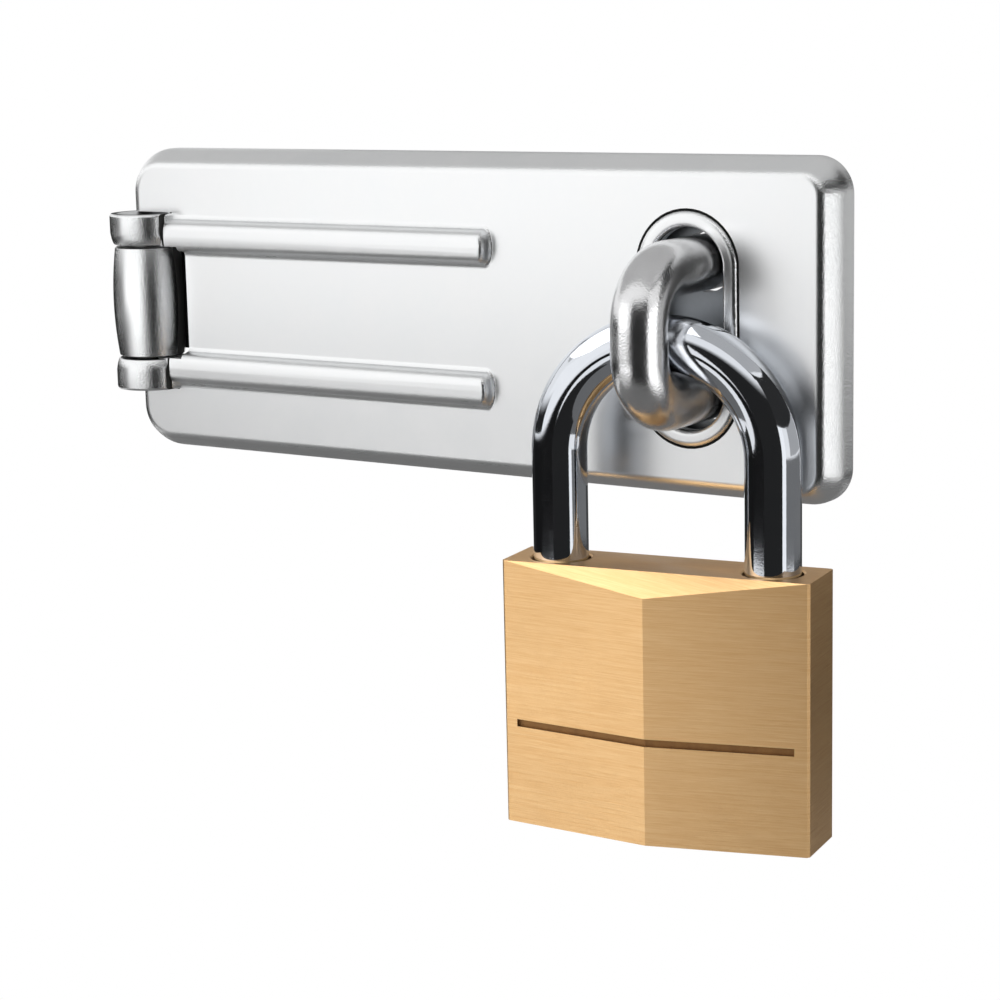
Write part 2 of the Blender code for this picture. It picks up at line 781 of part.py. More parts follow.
def body_shape():
    """Prism with a ridge down each face. Each ridge ends in a sloped facet at the top."""
    shape = bmesh.new()
    chamfer = BODY_SIDE_CHAMFER
    flat = HALF_SIDE - chamfer
    shoulder = HALF_WIDTH - chamfer
    edge = half_thickness(shoulder)
    ridge = half_thickness(0.0)
    plan = [
        (-HALF_WIDTH, -flat),
        (-shoulder, -edge),
        (0.0, -ridge),
        (shoulder, -edge),
        (HALF_WIDTH, -flat),
        (HALF_WIDTH, flat),
        (shoulder, edge),
        (0.0, ridge),
        (-shoulder, edge),
        (-HALF_WIDTH, flat),
    ]
    low = [shape.verts.new((x, y, BODY_BOTTOM)) for x, y in plan]
    high = []
    for x, y in plan:
        drop = TOP_FACET_DROP if abs(x) < chamfer else 0.0
        high.append(shape.verts.new((x, y, BODY_TOP - drop)))
    count = len(plan)
    for i in range(count):
        j = (i + 1) % count
        shape.faces.new((low[i], low[j], high[j], high[i]))
    shape.faces.new(low[::-1])
    shape.faces.new((high[1], high[2], high[3]))
    shape.faces.new((high[6], high[7], high[8]))
    shape.faces.new((high[0], high[1], high[3], high[4], high[5], high[6], high[8], high[9]))
    return shape


body_parts = empty("body_slide", (0.0, 0.0, 0.0), 0.0, padlock_frame)
lock_body = add_object("lock_body", body_shape(), BRASS, body_parts)
pin_heights = [BODY_TOP - PIN_FIRST - i * PIN_PITCH for i in range(PIN_COUNT)]
toe_bore_bottom = TOE_TIP - TOE_BORE_GAP
side_cut = HALF_WIDTH + OVERCUT

body_cuts = {
    "toe_bore": cylinder(
        SHACKLE_BORE_RADIUS, toe_bore_bottom, BODY_TOP + OVERCUT, 28, (-SHACKLE_HALF_SPAN, 0, 0)
    ),
    "heel_bore": cylinder(
        SHACKLE_BORE_RADIUS, BODY_TOP - HEEL_BORE_DEPTH, BODY_TOP + OVERCUT, 28, (SHACKLE_HALF_SPAN, 0, 0)
    ),
    "bolt_bore": cylinder(
        BOLT_BORE_RADIUS, -side_cut, SHACKLE_HALF_SPAN, 20, (0, 0, BOLT_Z), "X"
    ),
    "plug_bore": turned(
        [
            (RING_SEAT_RADIUS, BODY_BOTTOM - OVERCUT),
            (RING_SEAT_RADIUS, RING_SEAT_Z),
            (PLUG_BORE_RADIUS, RING_SEAT_Z),
            (PLUG_BORE_RADIUS, BODY_TOP - PLUG_BORE_TOP),
            (CAM_BORE_RADIUS, BODY_TOP - PLUG_BORE_TOP),
            (CAM_BORE_RADIUS, BOLT_Z),
        ],
        32,
    ),
}
for index, height in enumerate(pin_heights, 1):
    body_cuts[f"chamber_{index}"] = cylinder(
        CHAMBER_RADIUS, -side_cut, -0.5 * PLUG_RADIUS, 14, (0, 0, height), "X"
    )
for label, cutter in body_cuts.items():
    boolean(lock_body, add_tool(label, cutter, body_parts))


def groove_cutter(side):
    """Bar that follows one face's ridge and cuts the engraved line into it."""
    middle = BODY_TOP - GROOVE_DEPTH_DOWN
    low, high = middle - GROOVE_WIDTH / 2, middle + GROOVE_WIDTH / 2
    rings = []
    for x in (-GROOVE_HALF_LENGTH, 0.0, GROOVE_HALF_LENGTH):
        inner = side * (half_thickness(x) - GROOVE_CUT)
        outer = side * (half_thickness(x) + OVERCUT)
        rings.append([(x, inner, low), (x, outer, low), (x, outer, high), (x, inner, high)])
    return loft(rings)


boolean(lock_body, add_tool("front_groove", groove_cutter(-1), body_parts))
shade_round(lock_body, 20.0)

bolt_bore_plug = add_object(
    "bolt_bore_plug",
    cylinder(
        BOLT_RADIUS,
        -HALF_WIDTH + PLUG_INSET,
        -HALF_WIDTH + PLUG_INSET + BOLT_PLUG_LENGTH,
        20,
        (0, 0, BOLT_Z),
        "X",
    ),
    TURNED_BRASS,
    body_parts,
)
shade_round(bolt_bore_plug)

plug_ring = add_object(
    "plug_ring",
    cylinder(RING_SEAT_RADIUS - GAP, RING_TOP - RING_THICKNESS, RING_TOP, 32),
    STEEL,
    body_parts,
)
ring_hole = add_tool(
    "ring_hole",
    cylinder(PLUG_NECK_RADIUS + GAP, BODY_BOTTOM - OVERCUT, RING_TOP + OVERCUT, 24),
    body_parts,
)
boolean(plug_ring, ring_hole)
shade_round(plug_ring)


# Locking bolts, cam and plug. The plug stands at its unlocked stop, with both bolts drawn in.


def bolt_shape(side, nose):
    """One bolt. Its finger passes the plug's axis and ends in a hook for the cam."""
    inner = BOLT_INNER_END
    ends = sorted((side * inner, side * (nose - BOLT_NOSE_CHAMFER)))
    profile = [(BOLT_RADIUS, ends[0]), (BOLT_RADIUS, ends[1])]
    if side > 0:
        profile.append((BOLT_RADIUS - BOLT_NOSE_CHAMFER, nose))
    else:
        profile.insert(0, (BOLT_RADIUS - BOLT_NOSE_CHAMFER, -nose))
    return turned(profile, 20, (0, 0, BOLT_Z), "X")


def block(name, side, x_range, y_range, z_range):
    """Box given on the toe bolt's side; the heel bolt's is turned half round."""
    xs = sorted(-side * x for x in x_range)
    ys = sorted(-side * y for y in y_range)
    return add_tool(
        name, box((xs[0], ys[0], min(z_range)), (xs[1], ys[1], max(z_range))), padlock_frame
    )


hook_far = BOLT_INNER_END - GAP
hook_near = hook_far - HOOK_THICKNESS
finger_low = CAM_TOP + 1.6 * GAP
finger_high = finger_low + FINGER_HEIGHT
finger_out = FINGER_OFFSET + FINGER_THICKNESS
spring_z = (finger_low + finger_high) / 2
bolts = {}
for label, side, nose in (("toe_bolt", -1, toe_nose), ("heel_bolt", 1, heel_nose)):
    bolt = add_object(label, bolt_shape(side, nose), STEEL, body_parts)
    pieces = (
        (
            (-BOLT_INNER_END - OVERCUT, hook_far),
            (-finger_out, -FINGER_OFFSET),
            (finger_low, finger_high),
        ),
        (
            (hook_near, hook_far),
            (-finger_out, -FINGER_OFFSET),
            (CAM_TOP - 4 * HOOK_LAP, finger_high),
        ),
        (
            (hook_near, hook_far),
            (-HOOK_BACK, HOOK_FRONT),
            (CAM_BOTTOM + GAP, CAM_TOP + HOOK_LAP),
        ),
    )
    for number, (xs, ys, zs) in enumerate(pieces, 1):
        boolean(bolt, block(f"{label}_hook_{number}", side, xs, ys, zs), "UNION")
    pocket_ends = sorted(
        (side * (BOLT_INNER_END - OVERCUT), side * (BOLT_INNER_END + BOLT_SPRING_POCKET))
    )
    pocket = add_tool(
        f"{label}_pocket",
        cylinder(
            BOLT_SPRING_RADIUS + BOLT_SPRING_WIRE + BOLT_SPRING_ROOM,
            *pocket_ends,
            12,
            (0, 0, spring_z),
            "X",
        ),
        padlock_frame,
    )
    boolean(bolt, pocket)
    shade_round(bolt)
    bolts[label] = bolt

spring_half = BOLT_INNER_END + BOLT_SPRING_POCKET - GAP
coil(
    "bolt_spring",
    BOLT_SPRING_RADIUS,
    BOLT_SPRING_WIRE,
    (-spring_half, 0, spring_z),
    2 * spring_half,
    X,
    9,
    body_parts,
)

plug_axis = empty("plug_axis", (0.0, 0.0, 0.0), 0.0, body_parts)


def oval(long, short, height, steps=24):
    return [
        (long * math.cos(math.tau * i / steps), short * math.sin(math.tau * i / steps), height)
        for i in range(steps)
    ]


cam = add_object(
    "cam",
    loft([oval(CAM_LONG, CAM_SHORT, CAM_BOTTOM), oval(CAM_LONG, CAM_SHORT, CAM_TOP)]),
    STEEL,
    plug_axis,
)
stem = add_tool(
    "cam_stem", cylinder(CAM_STEM_RADIUS, PLUG_TOP + GAP, CAM_BOTTOM + GAP, 20), plug_axis
)
boolean(cam, stem, "UNION")
tang = add_tool(
    "cam_tang",
    box(
        (-TANG_HALF_WIDTH, -TANG_HALF_THICKNESS, PLUG_TOP - TANG_DEPTH),
        (TANG_HALF_WIDTH, TANG_HALF_THICKNESS, PLUG_TOP + 2 * GAP),
    ),
    plug_axis,
)
boolean(cam, tang, "UNION")
shade_round(cam)

plug_core = add_object(
    "plug_core",
    turned(
        [
            (PLUG_NECK_RADIUS, BODY_BOTTOM + GAP),
            (PLUG_NECK_RADIUS, PLUG_SHOULDER),
            (PLUG_RADIUS, PLUG_SHOULDER),
            (PLUG_RADIUS, PLUG_TOP),
        ],
        32,
    ),
    TURNED_BRASS,
    plug_axis,
)
plug_cuts = {
    "tang_slot": box(
        (-TANG_HALF_WIDTH - GAP, -TANG_HALF_THICKNESS - GAP, PLUG_TOP - TANG_DEPTH - GAP),
        (TANG_HALF_WIDTH + GAP, TANG_HALF_THICKNESS + GAP, PLUG_TOP + OVERCUT),
    ),
    "keyway": box(
        (-KEYWAY_HALF_WIDTH, -KEYWAY_NEAR, BODY_BOTTOM - OVERCUT),
        (KEYWAY_HALF_WIDTH, KEYWAY_FAR, BODY_TOP - KEYWAY_TOP),
    ),
}
for index, height in enumerate(pin_heights, 1):
    plug_cuts[f"pin_bore_{index}"] = cylinder(
        CHAMBER_RADIUS, -PLUG_RADIUS - OVERCUT, PIN_BORE_REACH, 14, (0, 0, height), "Y"
    )
for label, cutter in plug_cuts.items():
    boolean(plug_core, add_tool(label, cutter, plug_axis))
shade_round(plug_core)


# Pins, springs and chamber plugs, one set for each height

for index, height in enumerate(pin_heights, 1):
    length = KEY_PIN_LENGTHS[index - 1]
    key_pin = add_object(
        f"key_pin_{index}",
        turned(
            [
                (PIN_SHANK_RADIUS, -KEY_PIN_SEAT),
                (PIN_SHANK_RADIUS, -KEY_PIN_SEAT + length - PIN_TIP),
                (0.4 * PIN_SHANK_RADIUS, -KEY_PIN_SEAT + length),
            ],
            14,
            (0, 0, height),
            "Y",
        ),
        TURNED_BRASS,
        plug_axis,
    )
    shade_round(key_pin)
    driver_pin = add_object(
        f"driver_pin_{index}",
        cylinder(PIN_SHANK_RADIUS, -DRIVER_OUTER, -DRIVER_INNER, 14, (0, 0, height), "X"),
        STEEL,
        body_parts,
    )
    shade_round(driver_pin)
    chamber_plug = add_object(
        f"chamber_plug_{index}",
        cylinder(
            PIN_SHANK_RADIUS,
            -HALF_WIDTH + PLUG_INSET,
            -CHAMBER_PLUG_INNER,
            14,
            (0, 0, height),
            "X",
        ),
        TURNED_BRASS,
        body_parts,
    )
    shade_round(chamber_plug)
    coil(
        f"driver_spring_{index}",
        DRIVER_SPRING_RADIUS,
        DRIVER_SPRING_WIRE,
        (-CHAMBER_PLUG_INNER + GAP, 0, height),
        CHAMBER_PLUG_INNER - DRIVER_OUTER - 2 * GAP,
        X,
        6,
        body_parts,
    )

coil(
    "shackle_spring",
    SHACKLE_SPRING_RADIUS,
    SHACKLE_SPRING_WIRE,
    (SHACKLE_HALF_SPAN, 0, BODY_TOP - HEEL_BORE_DEPTH + GAP),
    HEEL_TIP - (BODY_TOP - HEEL_BORE_DEPTH) - 2 * GAP,
    Z,
    5,
    body_parts,
)
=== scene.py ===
"""Hasp and padlock: the looks of a zinc-plated hasp with a brass padlock in its staple.

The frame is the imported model's: metres, +Z up, the wall at Y = 0 and the hasp facing -Y.
Sizes are written in millimetres.
"""

from math import atan2, cos, degrees, pi, radians, sin

import bmesh
import bpy
from mathutils import Matrix, Vector


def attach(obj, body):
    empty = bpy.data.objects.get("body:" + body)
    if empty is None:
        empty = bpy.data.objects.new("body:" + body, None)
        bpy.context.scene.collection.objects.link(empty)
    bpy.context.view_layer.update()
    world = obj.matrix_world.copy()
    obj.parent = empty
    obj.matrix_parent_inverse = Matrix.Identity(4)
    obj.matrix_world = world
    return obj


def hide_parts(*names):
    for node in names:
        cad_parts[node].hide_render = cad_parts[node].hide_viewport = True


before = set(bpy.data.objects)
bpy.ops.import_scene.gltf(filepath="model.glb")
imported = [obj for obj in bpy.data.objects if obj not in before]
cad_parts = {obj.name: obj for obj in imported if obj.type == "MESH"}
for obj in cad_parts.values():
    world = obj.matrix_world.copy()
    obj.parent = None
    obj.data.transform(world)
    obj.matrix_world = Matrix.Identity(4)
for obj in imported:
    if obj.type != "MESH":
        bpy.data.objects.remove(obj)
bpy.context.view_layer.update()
mm = 0.001


# Camera
# The view from the front right, a little above the padlock, with a moderate telephoto lens.

HEADING, TILT, ROLL = 33.76, -10.81, -1.28

camera_data = bpy.data.cameras.new("camera")
camera_data.sensor_width = 36.0
camera_data.lens = 90.1
camera_data.clip_start = 0.01
camera_data.clip_end = 20.0
camera = bpy.data.objects.new("camera", camera_data)
bpy.context.scene.collection.objects.link(camera)
camera_turn = (
    Matrix.Rotation(radians(HEADING), 4, "Z")
    @ Matrix.Rotation(radians(90.0 + TILT), 4, "X")
    @ Matrix.Rotation(radians(ROLL), 4, "Z")
)
camera.matrix_world = Matrix.Translation((148.56 * mm, -270.89 * mm, 37.34 * mm)) @ camera_turn
bpy.context.scene.camera = camera
bpy.context.scene.view_settings.view_transform = "Standard"


# Studio
# A pale floor well below the hanging lock, white surroundings and two soft lamps. The lock is
# all metal, so grey and black cards stand round it, which only reflections see. Lamps that
# light one or two pieces alone come with those pieces.

FLOOR_SIZE, FLOOR_HEIGHT = 6000.0, -240.0
FLOOR_FADE_START, FLOOR_FADE_END = 280.0, 420.0


def linear(hex_colour):
    """An sRGB hex colour as linear RGBA."""
    channels = [int(hex_colour[i : i + 2], 16) / 255 for i in (1, 3, 5)]
    return (*[c / 12.92 if c <= 0.04045 else ((c + 0.055) / 1.055) ** 2.4 for c in channels], 1.0)


WHITE = linear("#FFFFFF")


def add_node(tree, kind, settings=None, inputs=None):
    """A node with its settings and inputs, each a value or another node's output to link.

    An input goes by its name, or by its number where several share a name: a mix node's
    share is 0, its numbers are 2 and 3 and its colours 6 and 7.
    """
    made = tree.nodes.new(kind)
    for name, value in (settings or {}).items():
        setattr(made, name, value)
    for name, value in (inputs or {}).items():
        if isinstance(value, bpy.types.NodeSocket):
            tree.links.new(value, made.inputs[name])
        else:
            made.inputs[name].default_value = value
    return made


def calculate(tree, operation, *values):
    """The result of a sum with one to three values."""
    inputs = dict(enumerate(values))
    return add_node(tree, "ShaderNodeMath", {"operation": operation}, inputs).outputs[0]


def new_finish(name):
    """An empty node material, its node tree and its output's surface input."""
    made = bpy.data.materials.new(name)
    made.use_nodes = True
    made.node_tree.nodes.clear()
    output = made.node_tree.nodes.new("ShaderNodeOutputMaterial")
    return made, made.node_tree, output.inputs["Surface"]


def seen_directly(tree):
    """1 for camera, glossy and transmission rays, 0 for diffuse ones."""
    path = add_node(tree, "ShaderNodeLightPath").outputs
    seen = calculate(tree, "MAXIMUM", path["Is Camera Ray"], path["Is Glossy Ray"])
    return calculate(tree, "MAXIMUM", seen, path["Is Transmission Ray"])


world = bpy.data.worlds.new("studio")
bpy.context.scene.world = world
world.use_nodes = True
tree = world.node_tree
tree.nodes.clear()
strength = add_node(
    tree, "ShaderNodeMix", {"data_type": "FLOAT"}, {0: seen_directly(tree), 2: 0.85, 3: 1.0}
)
glow = add_node(
    tree, "ShaderNodeBackground", {}, {"Color": WHITE, "Strength": strength.outputs[0]}
)
add_node(tree, "ShaderNodeOutputWorld", {}, {"Surface": glow.outputs[0]})

bpy.ops.object.select_all(action="DESELECT")
bpy.ops.mesh.primitive_plane_add(size=FLOOR_SIZE * mm, location=(0.0, 0.0, FLOOR_HEIGHT * mm))
floor = bpy.context.active_object
floor.name = "floor"
bpy.ops.object.transform_apply()

pale, tree, surface = new_finish("pale_floor")
# Matt paper, which fades into the white surroundings away from the lock.
matt = add_node(tree, "ShaderNodeBsdfDiffuse", {}, {"Color": linear("#F4F4F2")})
white = add_node(tree, "ShaderNodeEmission", {}, {"Color": WHITE})
place = add_node(tree, "ShaderNodeTexCoord").outputs["Object"]
distance = add_node(tree, "ShaderNodeVectorMath", {"operation": "LENGTH"}, {0: place})
fade = add_node(
    tree,
    "ShaderNodeMapRange",
    {"interpolation_type": "SMOOTHSTEP"},
    {
        "Value": distance.outputs["Value"],
        "From Min": FLOOR_FADE_START * mm,
        "From Max": FLOOR_FADE_END * mm,
        "To Min": 0.4,
    },
)
share = calculate(tree, "MULTIPLY", fade.outputs[0], seen_directly(tree))
mixed = add_node(
    tree, "ShaderNodeMixShader", {}, {0: share, 1: matt.outputs[0], 2: white.outputs[0]}
)
tree.links.new(mixed.outputs[0], surface)
floor.data.materials.append(pale)


def softbox(name, azimuth, elevation, distance, size, brightness, pieces=()):
    """A lamp that faces the lock and lights the given pieces alone, or everything.

    Azimuth 0 is in front, along -Y, and 90 is to the right. The distance and the size are in
    metres.
    """
    across, up = radians(azimuth), radians(elevation)
    data = bpy.data.lights.new(name, "AREA")
    data.shape = "RECTANGLE"
    data.size, data.size_y = size
    data.energy = brightness * pi * size[0] * size[1]
    lamp = bpy.data.objects.new(name, data)
    bpy.context.scene.collection.objects.link(lamp)
    lamp.location = distance * Vector((sin(across) * cos(up), -cos(across) * cos(up), sin(up)))
    lamp.rotation_euler = (-lamp.location).to_track_quat("-Z", "Y").to_euler()
    lamp.visible_camera = False
    if pieces:
        lit = bpy.data.collections.new(name)
        for piece in pieces:
            lit.objects.link(piece)
        lamp.light_linking.receiver_collection = lit


softbox("left_softbox", -46.0, 6.0, 0.9, (0.8, 0.5), 0.08)
softbox("right_softbox", 68.0, 4.0, 0.9, (0.4, 0.7), 0.15)


def edit(piece):
    """Enter edit mode on one piece with nothing selected."""
    bpy.ops.object.select_all(action="DESELECT")
    piece.select_set(True)
    bpy.context.view_layer.objects.active = piece
    bpy.ops.object.mode_set(mode="EDIT")
    bpy.ops.mesh.select_all(action="DESELECT")


def pick(kind, test):
    """Select the vertices, edges or faces in edit mode whose middle passes the test, in mm."""
    shape = bmesh.from_edit_mesh(bpy.context.active_object.data)
    bpy.ops.mesh.select_mode(type=kind)
    for part in {"VERT": shape.verts, "EDGE": shape.edges, "FACE": shape.faces}[kind]:
        if kind == "VERT":
            middle, along = part.co, part.normal
        elif kind == "EDGE":
            middle = (part.verts[0].co + part.verts[1].co) / 2
            along = (part.verts[1].co - part.verts[0].co).normalized()
        else:
            middle, along = part.calc_center_median(), part.normal
        part.select_set(bool(test(middle / mm, along)))
    shape.select_flush_mode()
    bmesh.update_edit_mesh(bpy.context.active_object.data)


def leave():
    """Back to object mode."""
    bpy.ops.object.mode_set(mode="OBJECT")


def show_to_metal(made, grey, high=0.0, fade=0.0):
    """Paint a card its grey, which only reflections see. Its top edge may fade to white."""
    paint, tree, surface = new_finish(made.name)
    place = add_node(tree, "ShaderNodeTexCoord").outputs["Object"]
    height = add_node(tree, "ShaderNodeSeparateXYZ", {}, {0: place}).outputs["Z"]
    shade = add_node(
        tree,
        "ShaderNodeMapRange",
        {"interpolation_type": "SMOOTHSTEP"},
        {
            "Value": height,
            "From Min": (high - fade) * mm,
            "From Max": (high + 0.1) * mm,
            "To Min": grey,
            "To Max": 1.0 if fade else grey,
        },
    )
    light = add_node(tree, "ShaderNodeEmission", {}, {"Color": shade.outputs[0]})
    tree.links.new(light.outputs[0], surface)
    made.data.materials.append(paint)
    made.visible_camera = False
    made.visible_diffuse = False
    made.visible_transmission = False
    made.visible_shadow = False


def card(name, azimuths, heights, radius, grey, fade=0.0):
    """A card curved round the lock between two azimuths and two heights."""
    (left, right), (low, high) = azimuths, heights
    bpy.ops.object.select_all(action="DESELECT")
    bpy.ops.mesh.primitive_cylinder_add(
        vertices=180,
        radius=radius * mm,
        depth=(high - low) * mm,
        end_fill_type="NOTHING",
        location=(0.0, 0.0, (low + high) / 2 * mm),
    )
    made = bpy.context.active_object
    made.name = name
    bpy.ops.object.transform_apply()
    edit(made)
    pick("FACE", lambda at, facing: (degrees(atan2(at.x, -at.y)) - left) % 360 > right - left)
    bpy.ops.mesh.delete(type="FACE")
    leave()
    show_to_metal(made, grey, high, fade)


card("front_card", (-3.0, 63.0), (-140.0, 130.0), 180.0, 0.02, 60.0)
card("low_card_left", (-92.0, -46.0), (-124.0, -44.0), 450.0, 0.01, 20.0)
card("low_card_front", (-46.0, 62.0), (-124.0, -44.0), 450.0, 0.01, 20.0)
card("low_card_right", (80.0, 166.0), (-124.0, -50.0), 450.0, 0.19, 20.0)
card("high_card_right", (60.0, 160.0), (76.0, 400.0), 430.0, 0.03)
card("back_card_low", (118.0, 205.0), (-400.0, -100.0), 520.0, 0.06)
card("back_card", (100.0, 205.0), (-100.0, 330.0), 520.0, 0.45)
card("left_back_card", (-128.0, -54.0), (-200.0, 60.0), 480.0, 0.02, 60.0)
card("low_back_card", (-176.0, -136.0), (30.0, 170.0), 480.0, 0.2)
for name, height, size, middle, grey in (
    ("ceiling_card", 480.0, 1600.0, (-350.0, 500.0), 0.5),
    ("ground_card", -215.0, 800.0, (0.0, 0.0), 0.16),
):
    bpy.ops.object.select_all(action="DESELECT")
    bpy.ops.mesh.primitive_plane_add(
        size=size * mm, location=(middle[0] * mm, middle[1] * mm, height * mm)
    )
    flat_card = bpy.context.active_object
    flat_card.name = name
    bpy.ops.object.transform_apply()
    show_to_metal(flat_card, grey)


# Cover plate
# The hasp's arm is pressed from 1.5 mm steel with rolled edges, two stiffening ribs and a
# beaded slot, and its end is curled into the hinge's two collars. It is bright zinc-plated.

SHEET = 1.5
COVER_LEFT, COVER_RIGHT, COVER_HALF_HEIGHT = -91.0, 19.0, 21.0
LEFT_CORNER, RIGHT_CORNER = 6.0, 4.6
FACE_DEPTH, WALL_GAP = 5.5, 0.3

RIB_OFFSET, RIB_HALF_WIDTH, RIB_RISE = 9.2, 2.15, 2.0
RIB_LEFT, RIB_RIGHT = -84.3, -29.0
RIB_HOLLOW_HALF_WIDTH, RIB_HOLLOW_LEFT = 0.95, -80.8
# The foot's flare, and how much of its half width the blunt right end of a rib reaches
RIB_FLARE, RIB_BLUNTNESS = 0.9, 0.45

HINGE = (-87.4, -5.4, 0.0)
BARREL_RADIUS, BARREL_HALF_HEIGHT, PIN_BORE_RADIUS = 5.1, 12.25, 2.8
CURL_START, CURL_GAP_HALF_HEIGHT = -85.36, 12.2
KNUCKLE_GAP_RIGHT, KNUCKLE_GAP_HALF_HEIGHT = -80.5, 7.8
CREASE_LEFT, CREASE_RIGHT, CREASE_FLOOR = -82.95, -82.6, -5.3
CREASE_FRONT, CREASE_LOW, CREASE_HIGH = -9.0, 7.7, 12.4

SLOT = (-0.8, 0.0, 0.0)
SLOT_DRAWN_OUT = 7.55

# The press tool's profiles, as (inset, depth) down the rim and (radius, height) round an axis
RIM = [(0.0, 1.5), (0.02, 1.9), (0.08, 2.38), (0.18, 2.76), (0.3, 3.1), (0.45, 3.42)]
RIM += [(0.62, 3.73), (0.8, 4.02), (1.0, 4.32), (1.2, 4.61), (1.4, 4.9), (1.5, 5.02)]
RIM += [(1.62, 5.13), (1.74, 5.23), (1.87, 5.31), (2.01, 5.38), (2.16, 5.434), (2.31, 5.472)]
RIM += [(2.47, 5.494), (2.62, FACE_DEPTH)]
INNER_RIM = [(0.0, 1.2), (0.15, 1.8), (0.45, 2.45), (0.85, 3.05), (1.25, 3.5), (1.6, 3.8)]
INNER_RIM += [(2.0, FACE_DEPTH - SHEET)]
COLLAR = [(4.5, 7.95), (4.66, 8.02), (4.78, 8.25), (4.95, 8.8), (BARREL_RADIUS, 9.6)]
COLLAR += [(BARREL_RADIUS, 11.85), (5.04, 12.08), (4.88, BARREL_HALF_HEIGHT)]
COLLAR_MOUTH = [(4.2, 12.4), (3.95, 12.1), (3.3, 11.5), (PIN_BORE_RADIUS, 11.2)]
BEAD_CREASE = [(6.99, 5.15), (7.26, 5.6)]
BEAD = [(6.0, 4.2), (6.9, 5.0), (6.9, 5.48), (6.84, 5.62), (6.7, 5.76), (6.52, 5.85)]
BEAD += [(6.36, 5.9), (6.1, 5.92), (5.0, 5.93)]
SLOT_LIP = [(4.95, -1.5), (4.95, 5.2), (4.98, 5.45), (5.06, 5.66), (5.2, 5.82), (5.38, 5.9)]
SLOT_LIP += [(5.6, 5.94), (6.0, 6.5)]


def block(name, low, high):
    """A block between two corners, with its place in its mesh."""
    low, high = Vector(low) * mm, Vector(high) * mm
    bpy.ops.object.select_all(action="DESELECT")
    bpy.ops.mesh.primitive_cube_add(size=1.0, location=(low + high) / 2)
    made = bpy.context.active_object
    made.name = name
    made.data.name = name
    made.scale = high - low
    bpy.ops.object.transform_apply()
    return made


def apply_modifier(piece, kind, **settings):
    """Add a modifier to a piece and make its result the piece's own mesh."""
    bpy.ops.object.select_all(action="DESELECT")
    piece.select_set(True)
    bpy.context.view_layer.objects.active = piece
    added = piece.modifiers.new(kind.lower(), kind)
    for name, value in settings.items():
        setattr(added, name, value)
    bpy.ops.object.modifier_apply(modifier=added.name)


def combine(piece, tool, operation):
    """Cut the tool away from the piece or weld it on, and throw the tool away."""
    apply_modifier(piece, "BOOLEAN", operation=operation, object=tool, solver="EXACT")
    bpy.data.objects.remove(tool, do_unlink=True)


def turned(name, stations, middle, axis, sides=64):
    """A round bar drawn out ring by ring from (radius, height) stations, closed at both ends."""
    turn = {"X": (0.0, pi / 2, 0.0), "Y": (pi / 2, 0.0, 0.0), "Z": (0.0, 0.0, 0.0)}[axis]
    ahead = Matrix.Rotation(turn[1], 3, "Y") @ Matrix.Rotation(turn[0], 3, "X") @ Vector((0, 0, 1))
    start = Vector(middle) * mm
    radius, height = stations[0]
    bpy.ops.object.select_all(action="DESELECT")
    bpy.ops.mesh.primitive_circle_add(
        vertices=sides,
        radius=radius * mm,
        fill_type="NGON",
        location=start + ahead * height * mm,
        rotation=turn,
    )
    made = bpy.context.active_object
    made.name = name
    made.data.name = name
    bpy.ops.object.transform_apply()
    bpy.ops.object.mode_set(mode="EDIT")
    bpy.ops.mesh.select_all(action="SELECT")
    for next_radius, next_height in stations[1:]:
        rise = ahead * (next_height - height) * mm
        bpy.ops.mesh.extrude_region_move(TRANSFORM_OT_translate={"value": rise})
        grow = next_radius / radius
        bpy.ops.transform.resize(
            value=(grow, grow, grow), center_override=start + ahead * next_height * mm
        )
        radius, height = next_radius, next_height
    bpy.ops.mesh.select_all(action="SELECT")
    bpy.ops.mesh.normals_make_consistent(inside=False)
    leave()
    return made


def smooth(piece, angle=35.0):
    """Tidy the mesh, shade it smooth between its sharp edges and let the large faces lead."""
    edit(piece)
    bpy.ops.mesh.select_all(action="SELECT")
    bpy.ops.mesh.remove_doubles(threshold=0.002 * mm)
    bpy.ops.mesh.dissolve_degenerate(threshold=0.001 * mm)
    leave()
    bpy.ops.object.shade_smooth_by_angle(angle=radians(angle))
    apply_modifier(piece, "WEIGHTED_NORMAL", keep_sharp=True)


def stretch(piece, test, shift):
    """Move part of a piece: a round button drawn out into a long one."""
    edit(piece)
    pick("VERT", test)
    bpy.ops.transform.translate(value=Vector(shift) * mm)
    leave()


def rib_form(name, middle_z, half_width, base, left, right):
    """A rib's crown, flanks and flared foot: a round button, blunted right and drawn out left."""
    foot = half_width + RIB_FLARE
    stations = [(foot, base - 0.5), (foot, base - 0.03)]
    stations += [(half_width + 0.45, base + 0.06), (half_width + 0.15, base + 0.22)]
    for i in range(9, 0, -1):
        angle = pi / 2 * i / 10
        rise = 0.12 + (RIB_RISE - 0.12) * cos(angle) ** 0.6
        stations.append((half_width * sin(angle) ** 0.6, base + rise))
    stations.append((0.05, base + RIB_RISE))
    middle_x = right - RIB_BLUNTNESS * foot
    made = turned(name, stations, (middle_x, 0.0, middle_z), "Y", 48)
    edit(made)
    pick("VERT", lambda at, along: at.x > middle_x + 0.01)
    bpy.ops.transform.resize(
        value=(RIB_BLUNTNESS, 1.0, 1.0), center_override=(middle_x * mm, 0.0, 0.0)
    )
    leave()
    stretch(made, lambda at, along: at.x < middle_x + 0.01, (left - middle_x, 0.0, 0.0))
    return made


